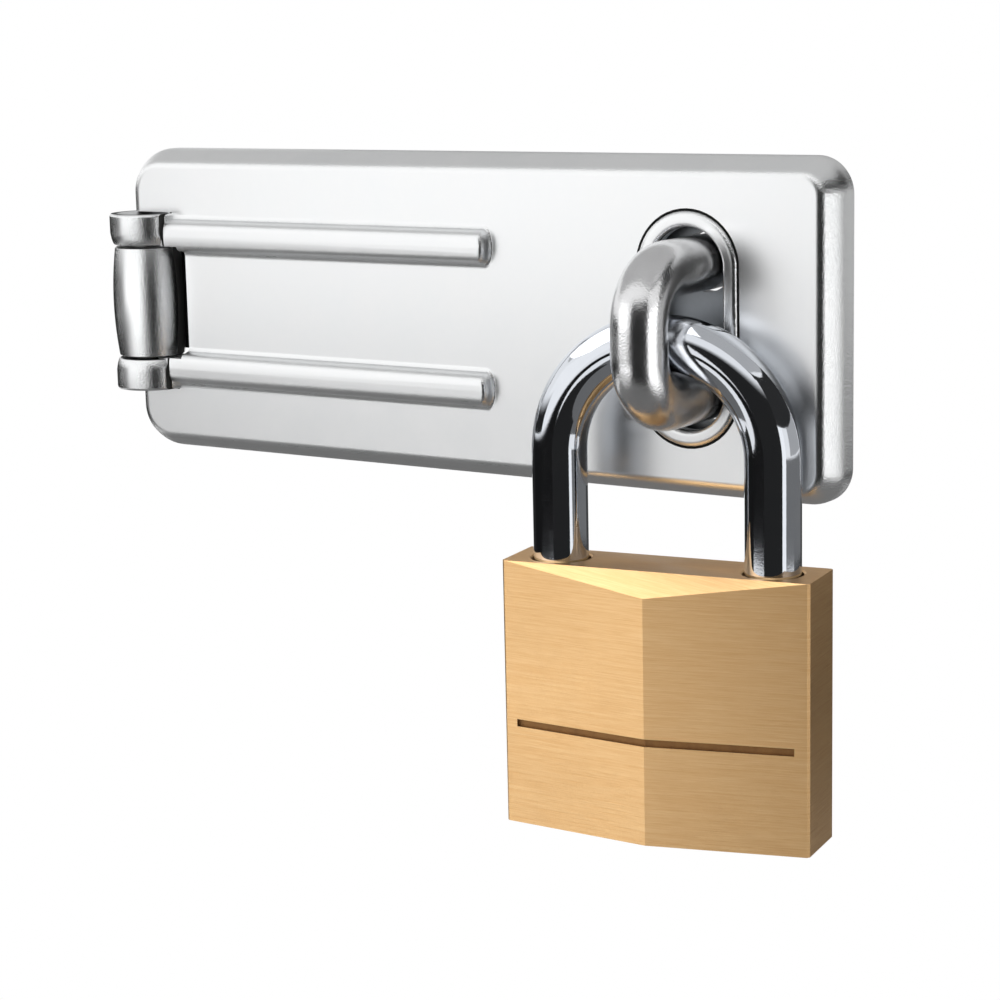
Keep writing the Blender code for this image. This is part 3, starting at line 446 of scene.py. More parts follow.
def pressing(name, left, right, half_height, back, left_corner, right_corner, rim):
    """A low block with round corners. Its front is inset and raised through the rim's steps."""
    made = block(name, (left, -rim[0][1], -half_height), (right, back, half_height))
    edit(made)
    for end, corner in ((left, left_corner), (right, right_corner)):
        pick("EDGE", lambda at, along: abs(along.y) > 0.9 and abs(at.x - end) < 0.01)
        bpy.ops.mesh.bevel(offset=corner * mm, segments=14, affect="EDGES", clamp_overlap=False)
    pick("FACE", lambda at, facing: facing.y < -0.9)
    for (inset, depth), (next_inset, next_depth) in zip(rim, rim[1:]):
        bpy.ops.mesh.inset(thickness=(next_inset - inset) * mm, depth=(next_depth - depth) * mm)
    leave()
    return made


def slot_form(name, stations):
    """A button drawn out up and down to the slot's height."""
    made = turned(name, stations, SLOT, "Y", 48)
    stretch(made, lambda at, along: at.z > 0.01, (0.0, 0.0, SLOT_DRAWN_OUT))
    stretch(made, lambda at, along: at.z < -0.01, (0.0, 0.0, -SLOT_DRAWN_OUT))
    return made


cover = pressing(
    "cover",
    COVER_LEFT,
    COVER_RIGHT,
    COVER_HALF_HEIGHT,
    -WALL_GAP,
    LEFT_CORNER,
    RIGHT_CORNER,
    RIM,
)
cover_hollow = pressing(
    "hollow",
    COVER_LEFT + SHEET,
    COVER_RIGHT - SHEET,
    COVER_HALF_HEIGHT - SHEET,
    1.0,
    LEFT_CORNER - SHEET,
    RIGHT_CORNER - SHEET,
    INNER_RIM,
)
combine(cover, cover_hollow, "DIFFERENCE")
curl_gap = block(
    "curl_gap",
    (COVER_LEFT - 1.0, -FACE_DEPTH - 1.0, -CURL_GAP_HALF_HEIGHT),
    (CURL_START, 1.0, CURL_GAP_HALF_HEIGHT),
)
combine(cover, curl_gap, "DIFFERENCE")
for side in (1, -1):
    rib = rib_form("rib", side * RIB_OFFSET, RIB_HALF_WIDTH, FACE_DEPTH, RIB_LEFT, RIB_RIGHT)
    combine(cover, rib, "UNION")
    rib_hollow = rib_form(
        "rib_hollow",
        side * RIB_OFFSET,
        RIB_HOLLOW_HALF_WIDTH,
        FACE_DEPTH - SHEET,
        RIB_HOLLOW_LEFT,
        RIB_RIGHT - SHEET,
    )
    combine(cover, rib_hollow, "DIFFERENCE")
    collar = turned("collar", [(r, side * h) for r, h in COLLAR], HINGE, "Z")
    combine(cover, collar, "UNION")
knuckle_gap = block(
    "knuckle_gap",
    (-93.5, -11.5, -KNUCKLE_GAP_HALF_HEIGHT),
    (KNUCKLE_GAP_RIGHT, 1.0, KNUCKLE_GAP_HALF_HEIGHT),
)
combine(cover, knuckle_gap, "DIFFERENCE")
bore = [(r, -h) for r, h in COLLAR_MOUTH] + COLLAR_MOUTH[::-1]
combine(cover, turned("collar_bore", bore, HINGE, "Z"), "DIFFERENCE")
for low, high in ((CREASE_LOW, CREASE_HIGH), (-CREASE_HIGH, -CREASE_LOW)):
    corner = (CREASE_LEFT, CREASE_FRONT, low)
    crease = block("crease", corner, (CREASE_RIGHT, CREASE_FLOOR, high))
    combine(cover, crease, "DIFFERENCE")
combine(cover, slot_form("bead_crease", BEAD_CREASE), "DIFFERENCE")
combine(cover, slot_form("slot_bead", BEAD), "UNION")
combine(cover, slot_form("slot_cut", SLOT_LIP), "DIFFERENCE")
smooth(cover)


def noise(tree, place, scale, detail, roughness=0.5):
    """Cloudy noise with so many patches to the metre."""
    inputs = {"Vector": place, "Scale": scale, "Detail": detail, "Roughness": roughness}
    return add_node(tree, "ShaderNodeTexNoise", {}, inputs).outputs[0]


def tone_between(tree, share, dark, light):
    """A colour between two sRGB hex colours."""
    inputs = {0: share, 6: linear(dark), 7: linear(light)}
    return add_node(tree, "ShaderNodeMix", {"data_type": "RGBA"}, inputs).outputs[2]


def level_between(tree, share, low, high):
    """A value between two."""
    inputs = {"Value": share, "To Min": low, "To Max": high}
    return add_node(tree, "ShaderNodeMapRange", {}, inputs).outputs[0]


def raised(tree, height, strength, depth):
    """The normals of a surface raised by a pattern."""
    inputs = {"Height": height, "Strength": strength, "Distance": depth * mm}
    return add_node(tree, "ShaderNodeBump", {}, inputs).outputs[0]


def lay(tree, surface, tone, roughness, more):
    """End a finish with its shader."""
    inputs = {"Base Color": tone, "Roughness": roughness, **more}
    shader = add_node(tree, "ShaderNodeBsdfPrincipled", {}, inputs)
    tree.links.new(shader.outputs[0], surface)


zinc, tree, surface = new_finish("bright_zinc_plate")
# Zinc plate over pressed steel: a cold white metal, satin on the flat face with a faint mottle
# in 7 mm patches, and burnished on the rolled edges where the tool slid over them. The
# plating's crystals are too fine to show, so their grain is drawn 0.24 mm coarse, on the edges
# alone. The face stays rougher than 0.28: near 0.27 the denoiser turns it speckled.
coordinates = add_node(tree, "ShaderNodeTexCoord").outputs
cloud = noise(tree, coordinates["Object"], 140.0, 5.0, 0.6)
grain = noise(tree, coordinates["Object"], 4200.0, 3.0, 0.6)
tone = tone_between(tree, cloud, "#F3F5F6", "#FFFFFF")
facing = add_node(tree, "ShaderNodeSeparateXYZ", {}, {0: coordinates["Normal"]}).outputs
edge_to_face = {"Value": facing["Y"], "From Min": -0.9, "From Max": -0.995}
flatness = add_node(
    tree, "ShaderNodeMapRange", {}, {**edge_to_face, "To Min": 0.16, "To Max": 0.27}
)
slope = calculate(tree, "ABSOLUTE", facing["Z"])
long_edge = calculate(tree, "MULTIPLY_ADD", slope, 0.2, flatness.outputs[0])
roughness = calculate(tree, "MULTIPLY_ADD", cloud, 0.06, long_edge)
strength = add_node(
    tree, "ShaderNodeMapRange", {}, {**edge_to_face, "To Min": 0.5, "To Max": 0.0}
)
normal = raised(tree, grain, strength.outputs[0], 0.1)
lay(tree, surface, tone, roughness, {"Metallic": 1.0, "Normal": normal})

shaded_dull_zinc, tree, surface = new_finish("dull_zinc_with_painted_shade")
# Zinc plate on the inside and under the arm: dull, and dark grey from painted shade, cloudy in
# patches of 5 to 6 mm.
place = add_node(tree, "ShaderNodeTexCoord").outputs["Object"]
cloud = noise(tree, place, 180.0, 5.0, 0.6)
tone = tone_between(tree, cloud, "#6E7174", "#94979A")
roughness = level_between(tree, cloud, 0.3, 0.48)
normal = raised(tree, cloud, 0.2, 0.1)
lay(tree, surface, tone, roughness, {"Metallic": 1.0, "Normal": normal})

joint_shade, tree, surface = new_finish("painted_shade_in_joints")
# Painted shade in the joints, bores and creases: almost black and dull, in 1 mm blotches.
place = add_node(tree, "ShaderNodeTexCoord").outputs["Object"]
cloud = noise(tree, place, 900.0, 3.0)
tone = tone_between(tree, cloud, "#1C1C1C", "#3A3A39")
lay(tree, surface, tone, level_between(tree, cloud, 0.5, 0.8), {})


def coat(piece, finishes, tests):
    """Give a piece its finishes, each after the first on the faces that pass its own test."""
    for finish in finishes:
        piece.data.materials.append(finish)
    edit(piece)
    for number, test in enumerate(tests, start=1):
        pick("FACE", test)
        piece.active_material_index = number
        bpy.ops.object.material_slot_assign()
    leave()


def round_hinge(at, reach):
    """Whether a place is within reach of the hinge's axis, no higher than its barrel."""
    near_axis = (at.x - HINGE[0]) ** 2 + (at.y - HINGE[1]) ** 2 < reach**2
    return near_axis and abs(at.z) < BARREL_HALF_HEIGHT + 0.25


def shaded_under_arm(at, facing):
    """Where shade is painted on the zinc: the arm's hollow back and the edge that faces the wall,
    but not the curled collars.
    """
    return facing.y > 0.2 and not round_hinge(at, BARREL_RADIUS + 0.1) or at.y > -WALL_GAP - 0.05


def painted_shade_in_joint(at, facing):
    """Where shade is painted: the walls beside the knuckle, inside the bores and in the creases of
    collars and bead.
    """
    in_gap = abs(at.z) < KNUCKLE_GAP_HALF_HEIGHT + 0.01 and -83.0 < at.x < KNUCKLE_GAP_RIGHT + 0.1
    beside_knuckle = in_gap and abs(facing.y) < 0.9
    in_crease = (
        CREASE_LEFT - 0.05 < at.x < CREASE_RIGHT + 0.05
        and CREASE_LOW - 0.01 < abs(at.z) < CREASE_HIGH + 0.01
        and CREASE_FRONT < at.y < CREASE_FLOOR + 0.05
    )
    collar_crease = in_crease and (abs(facing.x) > 0.99 or at.y > CREASE_FLOOR - 0.05)
    from_slot = Vector((at.x - SLOT[0], max(abs(at.z) - SLOT_DRAWN_OUT, 0.0))).length
    bead_crease = from_slot < 7.4 and -5.49 < at.y < -5.1 and facing.y < 0.5
    return beside_knuckle or round_hinge(at, 3.4) or bead_crease or collar_crease


# The arm's back takes the dull zinc darkened with painted shade, and its joints and creases take
# painted shade.
coat(cover, (zinc, shaded_dull_zinc, joint_shade), (shaded_under_arm, painted_shade_in_joint))
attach(cover, "hasp")
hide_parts("cover_plate")


# Hinge leaf
# The fixed leaf is screwed to the door under the arm. Its tongue is rolled into the hinge's
# barrel-shaped knuckle between the collars, and the plating is the arm's.

LEAF_SHEET = 1.8
LEAF_LEFT, LEAF_RIGHT, LEAF_HALF_HEIGHT = -80.8, -45.9, 11.4
TONGUE_LEFT, TONGUE_HALF_HEIGHT = -86.6, 7.05
KNUCKLE_HALF_HEIGHT, KNUCKLE_CHAMFER, KNUCKLE_TAPER = 7.5, 0.15, 0.55
KNUCKLE_END_RADIUS = 4.3
LEAF_CORNER, LEAF_INNER_CORNER = 3.0, 1.0
LEAF_HOLES_X, LEAF_HOLES_Z = (-73.6, -53.1), (-6.5, 6.5)
SCREW_RADIUS, SINK_RADIUS, SINK_DEPTH = 2.0, 3.6, 1.3


def screw_holes(piece, sheet, columns, rows):
    """Countersunk holes through a sheet that lies on the wall."""
    sink = [(SCREW_RADIUS, -1.0), (SCREW_RADIUS, sheet - SINK_DEPTH)]
    sink += [(SINK_RADIUS, sheet), (SINK_RADIUS + 0.4, sheet + 0.4)]
    for x in columns:
        for z in rows:
            combine(piece, turned("screw_hole", sink, (x, 0.0, z), "Y", 32), "DIFFERENCE")


knuckle_end = KNUCKLE_HALF_HEIGHT + KNUCKLE_CHAMFER
profile = [(KNUCKLE_END_RADIUS, -knuckle_end)]
for i in range(17):
    share = -1 + i / 8
    profile.append((BARREL_RADIUS - KNUCKLE_TAPER * share**2, KNUCKLE_HALF_HEIGHT * share))
profile.append((KNUCKLE_END_RADIUS, knuckle_end))
leaf = turned("leaf", profile, HINGE, "Z")
sheet = block(
    "leaf_sheet", (LEAF_LEFT, -LEAF_SHEET, -LEAF_HALF_HEIGHT), (LEAF_RIGHT, 0.0, LEAF_HALF_HEIGHT)
)
edit(sheet)
pick("EDGE", lambda at, along: abs(along.y) > 0.9 and at.x > LEAF_RIGHT - 0.1)
bpy.ops.mesh.bevel(offset=LEAF_CORNER * mm, segments=8, affect="EDGES")
pick("EDGE", lambda at, along: abs(along.y) > 0.9 and at.x < LEAF_LEFT + 0.1)
bpy.ops.mesh.bevel(offset=LEAF_INNER_CORNER * mm, segments=4, affect="EDGES")
leave()
tongue = block(
    "tongue", (TONGUE_LEFT, -LEAF_SHEET, -TONGUE_HALF_HEIGHT), (-80.0, 0.0, TONGUE_HALF_HEIGHT)
)
combine(sheet, tongue, "UNION")
combine(leaf, sheet, "UNION")
screw_holes(leaf, LEAF_SHEET, LEAF_HOLES_X, LEAF_HOLES_Z)
bore = [(PIN_BORE_RADIUS, -9.0), (PIN_BORE_RADIUS, 9.0)]
combine(leaf, turned("knuckle_bore", bore, HINGE, "Z", 48), "DIFFERENCE")
smooth(leaf)


def in_shadow_of_arm(at, facing):
    """The barrel's side that faces the arm, where shade is painted."""
    beside = -86.0 < at.x < -79.0 and abs(at.z) < KNUCKLE_HALF_HEIGHT + 0.2
    return beside and at.y > -5.2 and facing.y < 0.5


# The leaf's back takes the dull zinc darkened with painted shade, and the barrel's side beside the
# arm takes painted shade.
coat(leaf, (zinc, shaded_dull_zinc, joint_shade), (lambda at, facing: at.y > -3.0, in_shadow_of_arm))

# The low cards would darken the arm and the hinge, so four strips of light reach only these.
softbox("arm_left_softbox", -32.0, -10.0, 0.43, (0.4, 0.12), 0.4, (cover,))
softbox("arm_right_softbox", 85.0, -9.0, 0.43, (0.4, 0.14), 0.28, (cover, leaf))
softbox("hinge_left_softbox", -18.0, -9.0, 0.43, (0.5, 0.12), 0.9, (leaf,))
softbox("hinge_right_softbox", 102.0, -9.0, 0.43, (0.3, 0.12), 0.6, (leaf,))
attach(leaf, "leaf")
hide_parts("hinge_leaf")


# Hinge pin
# A plain steel pin, cut from drawn bar and pushed through the knuckle and both collars. It is
# set back in them and lightly domed at both ends.

PIN_DOME = [(0.4, 11.25), (1.5, 11.15), (2.2, 10.95), (2.5, 10.6)]

pin = turned("pin", [(r, -h) for r, h in PIN_DOME] + PIN_DOME[::-1], HINGE, "Z", 48)
smooth(pin, angle=40.0)

plain, tree, surface = new_finish("turned_steel")
# Drawn and turned steel left bare: mid grey, with marks round its axis. A lathe leaves them
# about 0.05 mm apart, and here they are 0.17 mm apart, so that they show.
place = add_node(tree, "ShaderNodeTexCoord").outputs["Object"]
turning = add_node(
    tree, "ShaderNodeMapping", {}, {"Vector": place, "Scale": (300.0, 300.0, 6000.0)}
)
marks = noise(tree, turning.outputs[0], 1.0, 2.0)
tone = tone_between(tree, marks, "#9C9C9C", "#B4B4B2")
roughness = level_between(tree, marks, 0.28, 0.42)
normal = raised(tree, marks, 0.15, 0.03)
lay(tree, surface, tone, roughness, {"Metallic": 1.0, "Normal": normal})
pin.data.materials.append(plain)
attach(pin, "leaf")
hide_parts("hinge_pin")


# Staple plate
# The fixed plate behind the arm, blanked from 2 mm steel, with four countersunk holes and
# two for the staple's legs.

PLATE_SHEET, PLATE_HALF_WIDTH, PLATE_HALF_HEIGHT = 2.0, 15.5, 17.5
PLATE_CORNER, PLATE_EDGE = 3.5, 0.35
PLATE_HOLES_X, PLATE_HOLES_Z = (-10.8, 10.8), (-12.8, 12.8)
LEG_HEIGHT, LEG_HOLE_RADIUS = 8.0, 3.75

back_plate = block(
    "back_plate",
    (-PLATE_HALF_WIDTH, -PLATE_SHEET, -PLATE_HALF_HEIGHT),
    (PLATE_HALF_WIDTH, 0.0, PLATE_HALF_HEIGHT),
)
edit(back_plate)
pick("EDGE", lambda at, along: abs(along.y) > 0.9)
bpy.ops.mesh.bevel(offset=PLATE_CORNER * mm, segments=8, affect="EDGES")
pick("EDGE", lambda at, along: at.y < 0.01 - PLATE_SHEET)
bpy.ops.mesh.bevel(offset=PLATE_EDGE * mm, segments=3, affect="EDGES")
leave()
for z in (-LEG_HEIGHT, LEG_HEIGHT):
    bore = [(LEG_HOLE_RADIUS, -1.0), (LEG_HOLE_RADIUS, 3.0)]
    combine(back_plate, turned("leg_hole", bore, (0.0, 0.0, z), "Y", 48), "DIFFERENCE")
screw_holes(back_plate, PLATE_SHEET, PLATE_HOLES_X, PLATE_HOLES_Z)
smooth(back_plate)
# The staple plate, seen through the slot, takes the dull zinc darkened with painted shade.
back_plate.data.materials.append(shaded_dull_zinc)
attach(back_plate, "hasp")
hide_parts("staple_plate")


# Staple
# A 6.9 mm steel rod bent twice, its legs set in the staple plate, zinc-plated and darker
# than the sheet because the rod's skin is rougher.

ROD_RADIUS, STAPLE_BEND = 3.45, 6.5
LEG_START, LEG_END = -0.3, -12.0


def rod(name, start, turn, radius, sides=48):
    """An open ring to draw a bar from. It stays in edit mode with the ring selected."""
    bpy.ops.object.select_all(action="DESELECT")
    bpy.ops.mesh.primitive_circle_add(
        vertices=sides, radius=radius * mm, location=Vector(start) * mm, rotation=turn
    )
    made = bpy.context.active_object
    made.name = name
    made.data.name = name
    bpy.ops.object.transform_apply()
    bpy.ops.object.mode_set(mode="EDIT")
    bpy.ops.mesh.select_all(action="SELECT")
    return made


def draw(shift):
    """Draw the bar on by a shift."""
    bpy.ops.mesh.extrude_region_move(TRANSFORM_OT_translate={"value": Vector(shift) * mm})


def bend(middle, axis, angle, steps):
    """Carry the end ring round a bend. With no window, spin turns against the right-hand rule."""
    bpy.ops.mesh.spin(steps=steps, angle=radians(-angle), center=Vector(middle) * mm, axis=axis)


def close_bar():
    """Close both ends, turn the faces outwards and leave edit mode."""
    bpy.ops.mesh.select_all(action="SELECT")
    bpy.ops.mesh.remove_doubles(threshold=0.001 * mm)
    bpy.ops.mesh.select_all(action="SELECT")
    bpy.ops.mesh.fill_holes(sides=0)
    bpy.ops.mesh.select_all(action="SELECT")
    bpy.ops.mesh.normals_make_consistent(inside=False)
    leave()


staple = rod("staple_rod", (0.0, LEG_START, LEG_HEIGHT), (pi / 2, 0.0, 0.0), ROD_RADIUS)
draw((0.0, LEG_END - LEG_START, 0.0))
bend((0.0, LEG_END, LEG_HEIGHT - STAPLE_BEND), (1.0, 0.0, 0.0), 90.0, 14)
draw((0.0, 0.0, 2 * (STAPLE_BEND - LEG_HEIGHT)))
bend((0.0, LEG_END, STAPLE_BEND - LEG_HEIGHT), (1.0, 0.0, 0.0), 90.0, 14)
draw((0.0, LEG_START - LEG_END, 0.0))
close_bar()
smooth(staple)

rod_zinc, tree, surface = new_finish("zinc_plated_rod")
# Zinc over drawn rod: greyer than the sheet, bright where it was rubbed, in patches of nearly
# 4 mm. Its grain breaks up the edges of reflections, and is drawn 0.28 mm coarse to show.
place = add_node(tree, "ShaderNodeTexCoord").outputs["Object"]
cloud = noise(tree, place, 260.0, 4.0, 0.55)
grain = noise(tree, place, 3600.0, 2.0)
tone = tone_between(tree, cloud, "#DADADB", "#F2F2F3")
roughness = level_between(tree, cloud, 0.16, 0.26)
normal = raised(tree, grain, 0.3, 0.08)
lay(tree, surface, tone, roughness, {"Metallic": 1.0, "Normal": normal})
staple.data.materials.append(rod_zinc)
softbox("staple_left_softbox", -34.0, -6.0, 0.165, (0.12, 0.2), 0.45, (staple,))
softbox("staple_right_softbox", 78.0, 0.0, 0.165, (0.12, 0.26), 0.9, (staple,))
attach(staple, "hasp")
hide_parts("staple")


# Shackle
# A hardened 6.9 mm bar bent to a bow, its long heel turned down to a neck and its toe
# notched for the bolts. It is polished and chrome-plated.

HANG_PLACE, HANG_TURN = Vector((-0.9, -11.2845, -0.8)), 8.0
HANG = Matrix.Translation(HANG_PLACE * mm) @ Matrix.Rotation(radians(HANG_TURN), 4, "Z")
HALF_SPAN = 13.9
TIP_RADIUS, NECK_RADIUS = 2.75, 2.7
NOTCH_LOW, NOTCH_HIGH, TOE_NOTCH, HEEL_NOTCH = -35.3, -29.5, -12.25, 12.85

# Each leg's stations, as (height, radius) in the order in which the bar is drawn
TOE = [(-37.4, TIP_RADIUS), (-36.7, ROD_RADIUS), (-HALF_SPAN, ROD_RADIUS)]
HEEL = [(-HALF_SPAN, ROD_RADIUS), (-29.5, ROD_RADIUS), (-29.9, NECK_RADIUS)]
HEEL += [(-45.4, NECK_RADIUS), (-45.8, ROD_RADIUS), (-47.1, ROD_RADIUS), (-47.8, TIP_RADIUS)]


def draw_leg(x, stations):
    """Draw the bar up or down one leg, thinned or swelled at each station."""
    for (height, radius), (next_height, next_radius) in zip(stations, stations[1:]):
        draw((0.0, 0.0, next_height - height))
        grow = next_radius / radius
        bpy.ops.transform.resize(
            value=(grow, grow, grow), center_override=Vector((x, 0.0, next_height)) * mm
        )


def hang(piece):
    """Carry a piece made upright at the origin to where the padlock hangs."""
    piece.data.transform(HANG)


shackle = rod("shackle_bar", (-HALF_SPAN, 0.0, TOE[0][0]), (0.0, 0.0, 0.0), TIP_RADIUS, 64)
draw_leg(-HALF_SPAN, TOE)
bend((0.0, 0.0, -HALF_SPAN), (0.0, 1.0, 0.0), 180.0, 56)
draw_leg(HALF_SPAN, HEEL)
close_bar()
for low_x, high_x in ((TOE_NOTCH, 0.0), (0.0, HEEL_NOTCH)):
    notch = block("notch", (low_x, -7.0, NOTCH_LOW), (high_x, 7.0, NOTCH_HIGH))
    combine(shackle, notch, "DIFFERENCE")
hang(shackle)
smooth(shackle)

chrome, tree, surface = new_finish("polished_chrome_plate")
# Chrome over polished steel: a hard cold mirror with a faint blue tint, hardly clouded in
# 3 mm patches. Its hairlines are a hundred times finer than the 0.24 mm drawn here.
place = add_node(tree, "ShaderNodeTexCoord").outputs["Object"]
cloud = noise(tree, place, 300.0, 3.0)
hairlines = noise(tree, place, 4200.0, 2.0)
tone = tone_between(tree, cloud, "#D5DAE2", "#E2E5EA")
roughness = level_between(tree, cloud, 0.035, 0.075)
normal = raised(tree, hairlines, 0.05, 0.03)
lay(tree, surface, tone, roughness, {"Metallic": 1.0, "Normal": normal})
shackle.data.materials.append(chrome)
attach(shackle, "shackle")
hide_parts("shackle")


# Padlock body
# One block of brass bar, its faces milled to a ridge and sloped at the top, brushed along
# its length, with one engraved line across the front.

BODY_HALF_WIDTH, BODY_SIDE, BODY_RIDGE = 20.0, 4.5, 3.0
BODY_TOP, BODY_BOTTOM, SIDE_CHAMFER = -27.4, -61.0, 0.3
FACET_RUN, FACET_DROP = 2.91, 2.7
LINE_HALF_LENGTH, LINE_LOW, LINE_HIGH, LINE_FLOOR = 18.2, -48.5, -47.55, -4.3
LEG_BORE_RADIUS, TOE_BORE_FLOOR, HEEL_BORE_FLOOR = 3.75, -38.0, -55.9
BOLT_BORE_RADIUS, BOLT_BORE_HEIGHT = 2.8, -32.4
CHAMBER_RADIUS, CHAMBER_HEIGHTS = 1.6, (-41.9, -45.5, -49.1, -52.7)
BORE_START, CHAMBER_END = -BODY_HALF_WIDTH - 1.0, -2.25

LEG_BORE_MOUTH = [(LEG_BORE_RADIUS, -27.6), (4.0, -27.35), (4.3, -26.5)]
PLUG_BORE = [(6.5, -62.0), (6.4, -61.1), (6.2, -60.85), (6.2, -59.2), (4.8, -59.19)]
PLUG_BORE += [(4.8, -36.4), (3.3, -36.39), (3.3, BOLT_BORE_HEIGHT)]


def mill(place, outward):
    """Mill away all that lies outside a plane."""
    bpy.ops.mesh.select_all(action="SELECT")
    bpy.ops.mesh.bisect(
        plane_co=Vector(place) * mm,
        plane_no=Vector(outward).normalized(),
        use_fill=True,
        clear_outer=True,
    )


half_depth = BODY_SIDE + BODY_RIDGE
body = block(
    "body",
    (-BODY_HALF_WIDTH, -half_depth, BODY_BOTTOM),
    (BODY_HALF_WIDTH, half_depth, BODY_TOP),
)
edit(body)
for face in (-1, 1):
    for side in (-1, 1):
        mill((0.0, face * half_depth, 0.0), (side * BODY_RIDGE, face * BODY_HALF_WIDTH, 0.0))
        edge = (side * BODY_HALF_WIDTH, face * (BODY_SIDE - SIDE_CHAMFER), 0.0)
        mill(edge, (side * 0.69, face * 0.6, 0.0))
    mill((0.0, face * (half_depth - FACET_RUN), BODY_TOP), (0.0, face * FACET_DROP, FACET_RUN))
leave()
line = block(
    "line_cutter",
    (-LINE_HALF_LENGTH, LINE_FLOOR - 1.5, LINE_LOW),
    (LINE_HALF_LENGTH, LINE_FLOOR, LINE_HIGH),
)
edit(line)
pick("EDGE", lambda at, along: abs(along.x) > 0.9)
bpy.ops.mesh.subdivide(number_cuts=1)
leave()
line_ridge = BODY_RIDGE * LINE_HALF_LENGTH / BODY_HALF_WIDTH
stretch(line, lambda at, along: abs(at.x) < 0.1, (0.0, -line_ridge, 0.0))
combine(body, line, "DIFFERENCE")
for name, x, bottom in (
    ("toe_bore", -HALF_SPAN, TOE_BORE_FLOOR),
    ("heel_bore", HALF_SPAN, HEEL_BORE_FLOOR),
):
    bore = [(LEG_BORE_RADIUS, bottom), *LEG_BORE_MOUTH]
    combine(body, turned(name, bore, (x, 0.0, 0.0), "Z"), "DIFFERENCE")
bore = [(BOLT_BORE_RADIUS, BORE_START), (BOLT_BORE_RADIUS, HALF_SPAN)]
combine(body, turned("bolt_bore", bore, (0.0, 0.0, BOLT_BORE_HEIGHT), "X", 48), "DIFFERENCE")
combine(body, turned("plug_bore", PLUG_BORE, (0.0, 0.0, 0.0), "Z"), "DIFFERENCE")
for height in CHAMBER_HEIGHTS:
    bore = [(CHAMBER_RADIUS, BORE_START), (CHAMBER_RADIUS, CHAMBER_END)]
    combine(body, turned("chamber", bore, (0.0, 0.0, height), "X", 24), "DIFFERENCE")
apply_modifier(
    body, "BEVEL", width=0.1 * mm, segments=2, limit_method="ANGLE", angle_limit=radians(40.0)
)
hang(body)
smooth(body, angle=12.0)

brass, tree, surface = new_finish("brushed_brass_bar")
# Brass bar brushed along its length: warm yellow, with long lines that spread its highlights
# up and down. They are 6 to 7 mm long and 0.14 mm apart, twice as coarse as a fine belt's, so
# that they show. On the level top they run the same way. A faint cloud has 17 mm patches.
coordinates = add_node(tree, "ShaderNodeTexCoord").outputs
brushed_ways = []
for stretched in ((150.0, 150.0, 7000.0), (150.0, 7000.0, 150.0)):
    way = add_node(
        tree,
        "ShaderNodeMapping",
        {},
        {
            "Vector": coordinates["Object"],
            "Rotation": (0.0, 0.0, -radians(HANG_TURN)),
            "Scale": stretched,
        },
    )
    brushed_ways.append(noise(tree, way.outputs[0], 1.0, 3.0, 0.8))
facing = add_node(tree, "ShaderNodeSeparateXYZ", {}, {0: coordinates["Normal"]}).outputs
level = calculate(tree, "GREATER_THAN", calculate(tree, "ABSOLUTE", facing["Z"]), 0.5)
brushing = add_node(
    tree,
    "ShaderNodeMix",
    {"data_type": "FLOAT"},
    {0: level, 2: brushed_ways[0], 3: brushed_ways[1]},
).outputs[0]
cloud = noise(tree, coordinates["Object"], 60.0, 3.0)
tone = tone_between(tree, brushing, "#D9A062", "#FFDCA6")
roughness = level_between(tree, cloud, 0.3, 0.42)
normal = raised(tree, brushing, 0.4, 0.05)
grain_way = add_node(tree, "ShaderNodeTangent", {"direction_type": "RADIAL", "axis": "Z"})
brushed_metal = {
    "Metallic": 1.0,
    "Anisotropic": 0.6,
    "Normal": normal,
    "Tangent": grain_way.outputs[0],
}
lay(tree, surface, tone, roughness, brushed_metal)

darker_line_brass, tree, surface = new_finish("darker_brass_in_line")
# Brass darker and browner in the engraved line, in 1 mm blotches.
place = add_node(tree, "ShaderNodeTexCoord").outputs["Object"]
cloud = noise(tree, place, 900.0, 3.0)
tone = tone_between(tree, cloud, "#74502C", "#A87C4A")
lay(tree, surface, tone, level_between(tree, cloud, 0.5, 0.7), {"Metallic": 0.6})


# This plane of the frame leaves out the body's back half.
LINE_FACES_BACK = -12.0


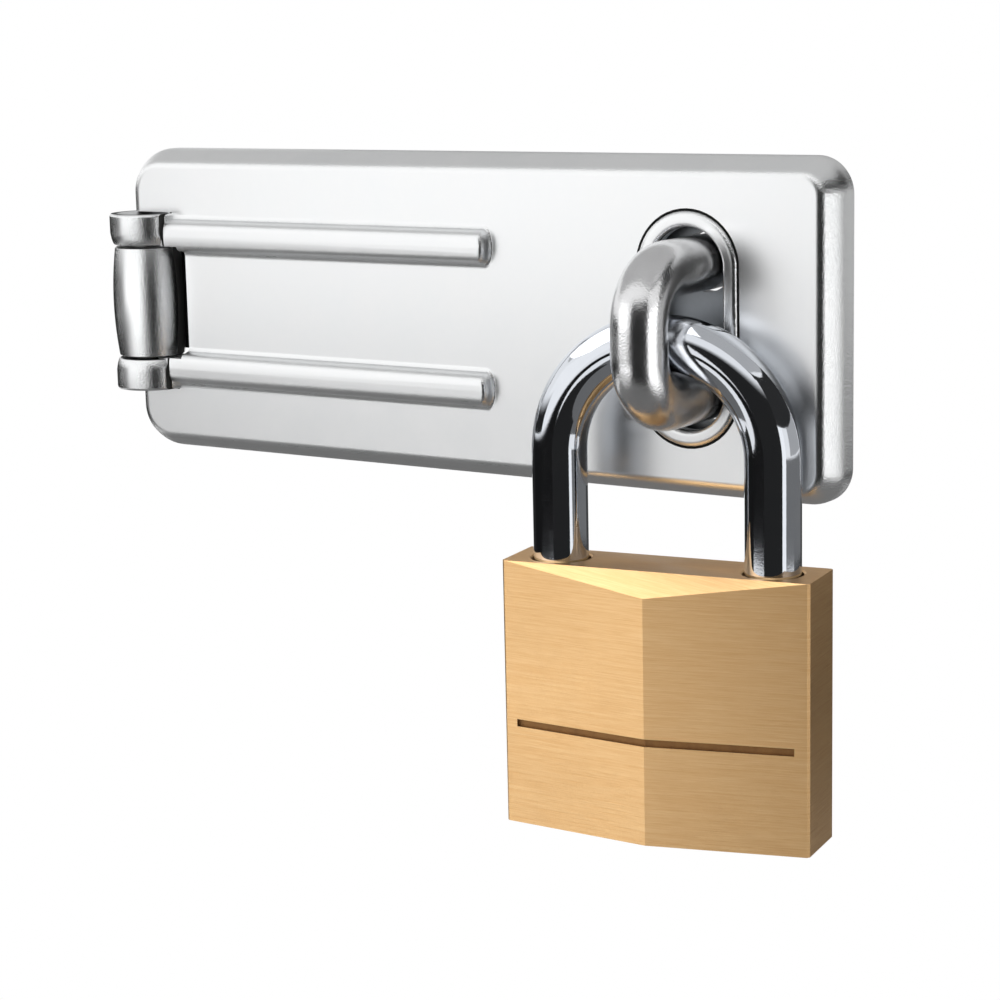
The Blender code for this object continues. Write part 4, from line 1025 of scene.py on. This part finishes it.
def in_line(at, facing):
    """The walls and floor of the engraved line, seen from the padlock's own middle."""
    own = HANG.inverted() @ (at * mm) / mm
    depth = own.y + BODY_SIDE + BODY_RIDGE * (1 - abs(own.x) / BODY_HALF_WIDTH)
    level = LINE_LOW - 0.1 < own.z < LINE_HIGH + 0.05
    across = abs(at.x - HANG_PLACE.x) < LINE_HALF_LENGTH + 0.1
    return level and across and at.y < LINE_FACES_BACK and depth > 0.1


coat(body, (brass, darker_line_brass), (in_line,))

# The padlock was lit apart from the hasp: two lamps light it alone.
softbox("padlock_top_softbox", -72.0, 56.0, 0.4, (0.5, 0.5), 1.6, (body, shackle))
softbox("padlock_left_softbox", -18.0, -16.0, 0.165, (0.24, 0.2), 0.62, (body,))
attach(body, "lock_body")
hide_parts("lock_body")


# Small turned parts
# The key plug and key pins are turned brass, and the bores' plugs are brushed with the body.
# The ring, cam, bolts and driver pins are plain steel and the springs are wire. Their solids
# are right as they are and take only a finish.

turned_brass, tree, surface = new_finish("turned_brass_bar")
# Turned brass: yellow and bright. Its tool marks are drawn as a 0.4 mm grain, far coarser than
# real ones, so that they show.
place = add_node(tree, "ShaderNodeTexCoord").outputs["Object"]
marks = noise(tree, place, 2400.0, 2.0)
tone = tone_between(tree, marks, "#CFA25C", "#E6BF7C")
roughness = level_between(tree, marks, 0.28, 0.36)
normal = raised(tree, marks, 0.1, 0.03)
lay(tree, surface, tone, roughness, {"Metallic": 1.0, "Normal": normal})

wire, tree, surface = new_finish("spring_wire")
# Hard-drawn spring wire: dark grey with a dull shine, its die marks drawn 0.33 mm coarse.
place = add_node(tree, "ShaderNodeTexCoord").outputs["Object"]
marks = noise(tree, place, 3000.0, 2.0)
tone = tone_between(tree, marks, "#8A8B8F", "#A8A9AC")
lay(tree, surface, tone, level_between(tree, marks, 0.28, 0.4), {"Metallic": 1.0})

for name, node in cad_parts.items():
    if name.startswith(("plug_core", "key_pin")):
        node.material_slots[0].material = turned_brass
    elif name.startswith(("bolt_bore_plug", "chamber_plug")):
        node.material_slots[0].material = brass
    elif "spring" in name:
        node.material_slots[0].material = wire
    elif name.startswith(("plug_ring", "cam", "toe_bolt", "heel_bolt", "driver_pin")):
        node.material_slots[0].material = plain
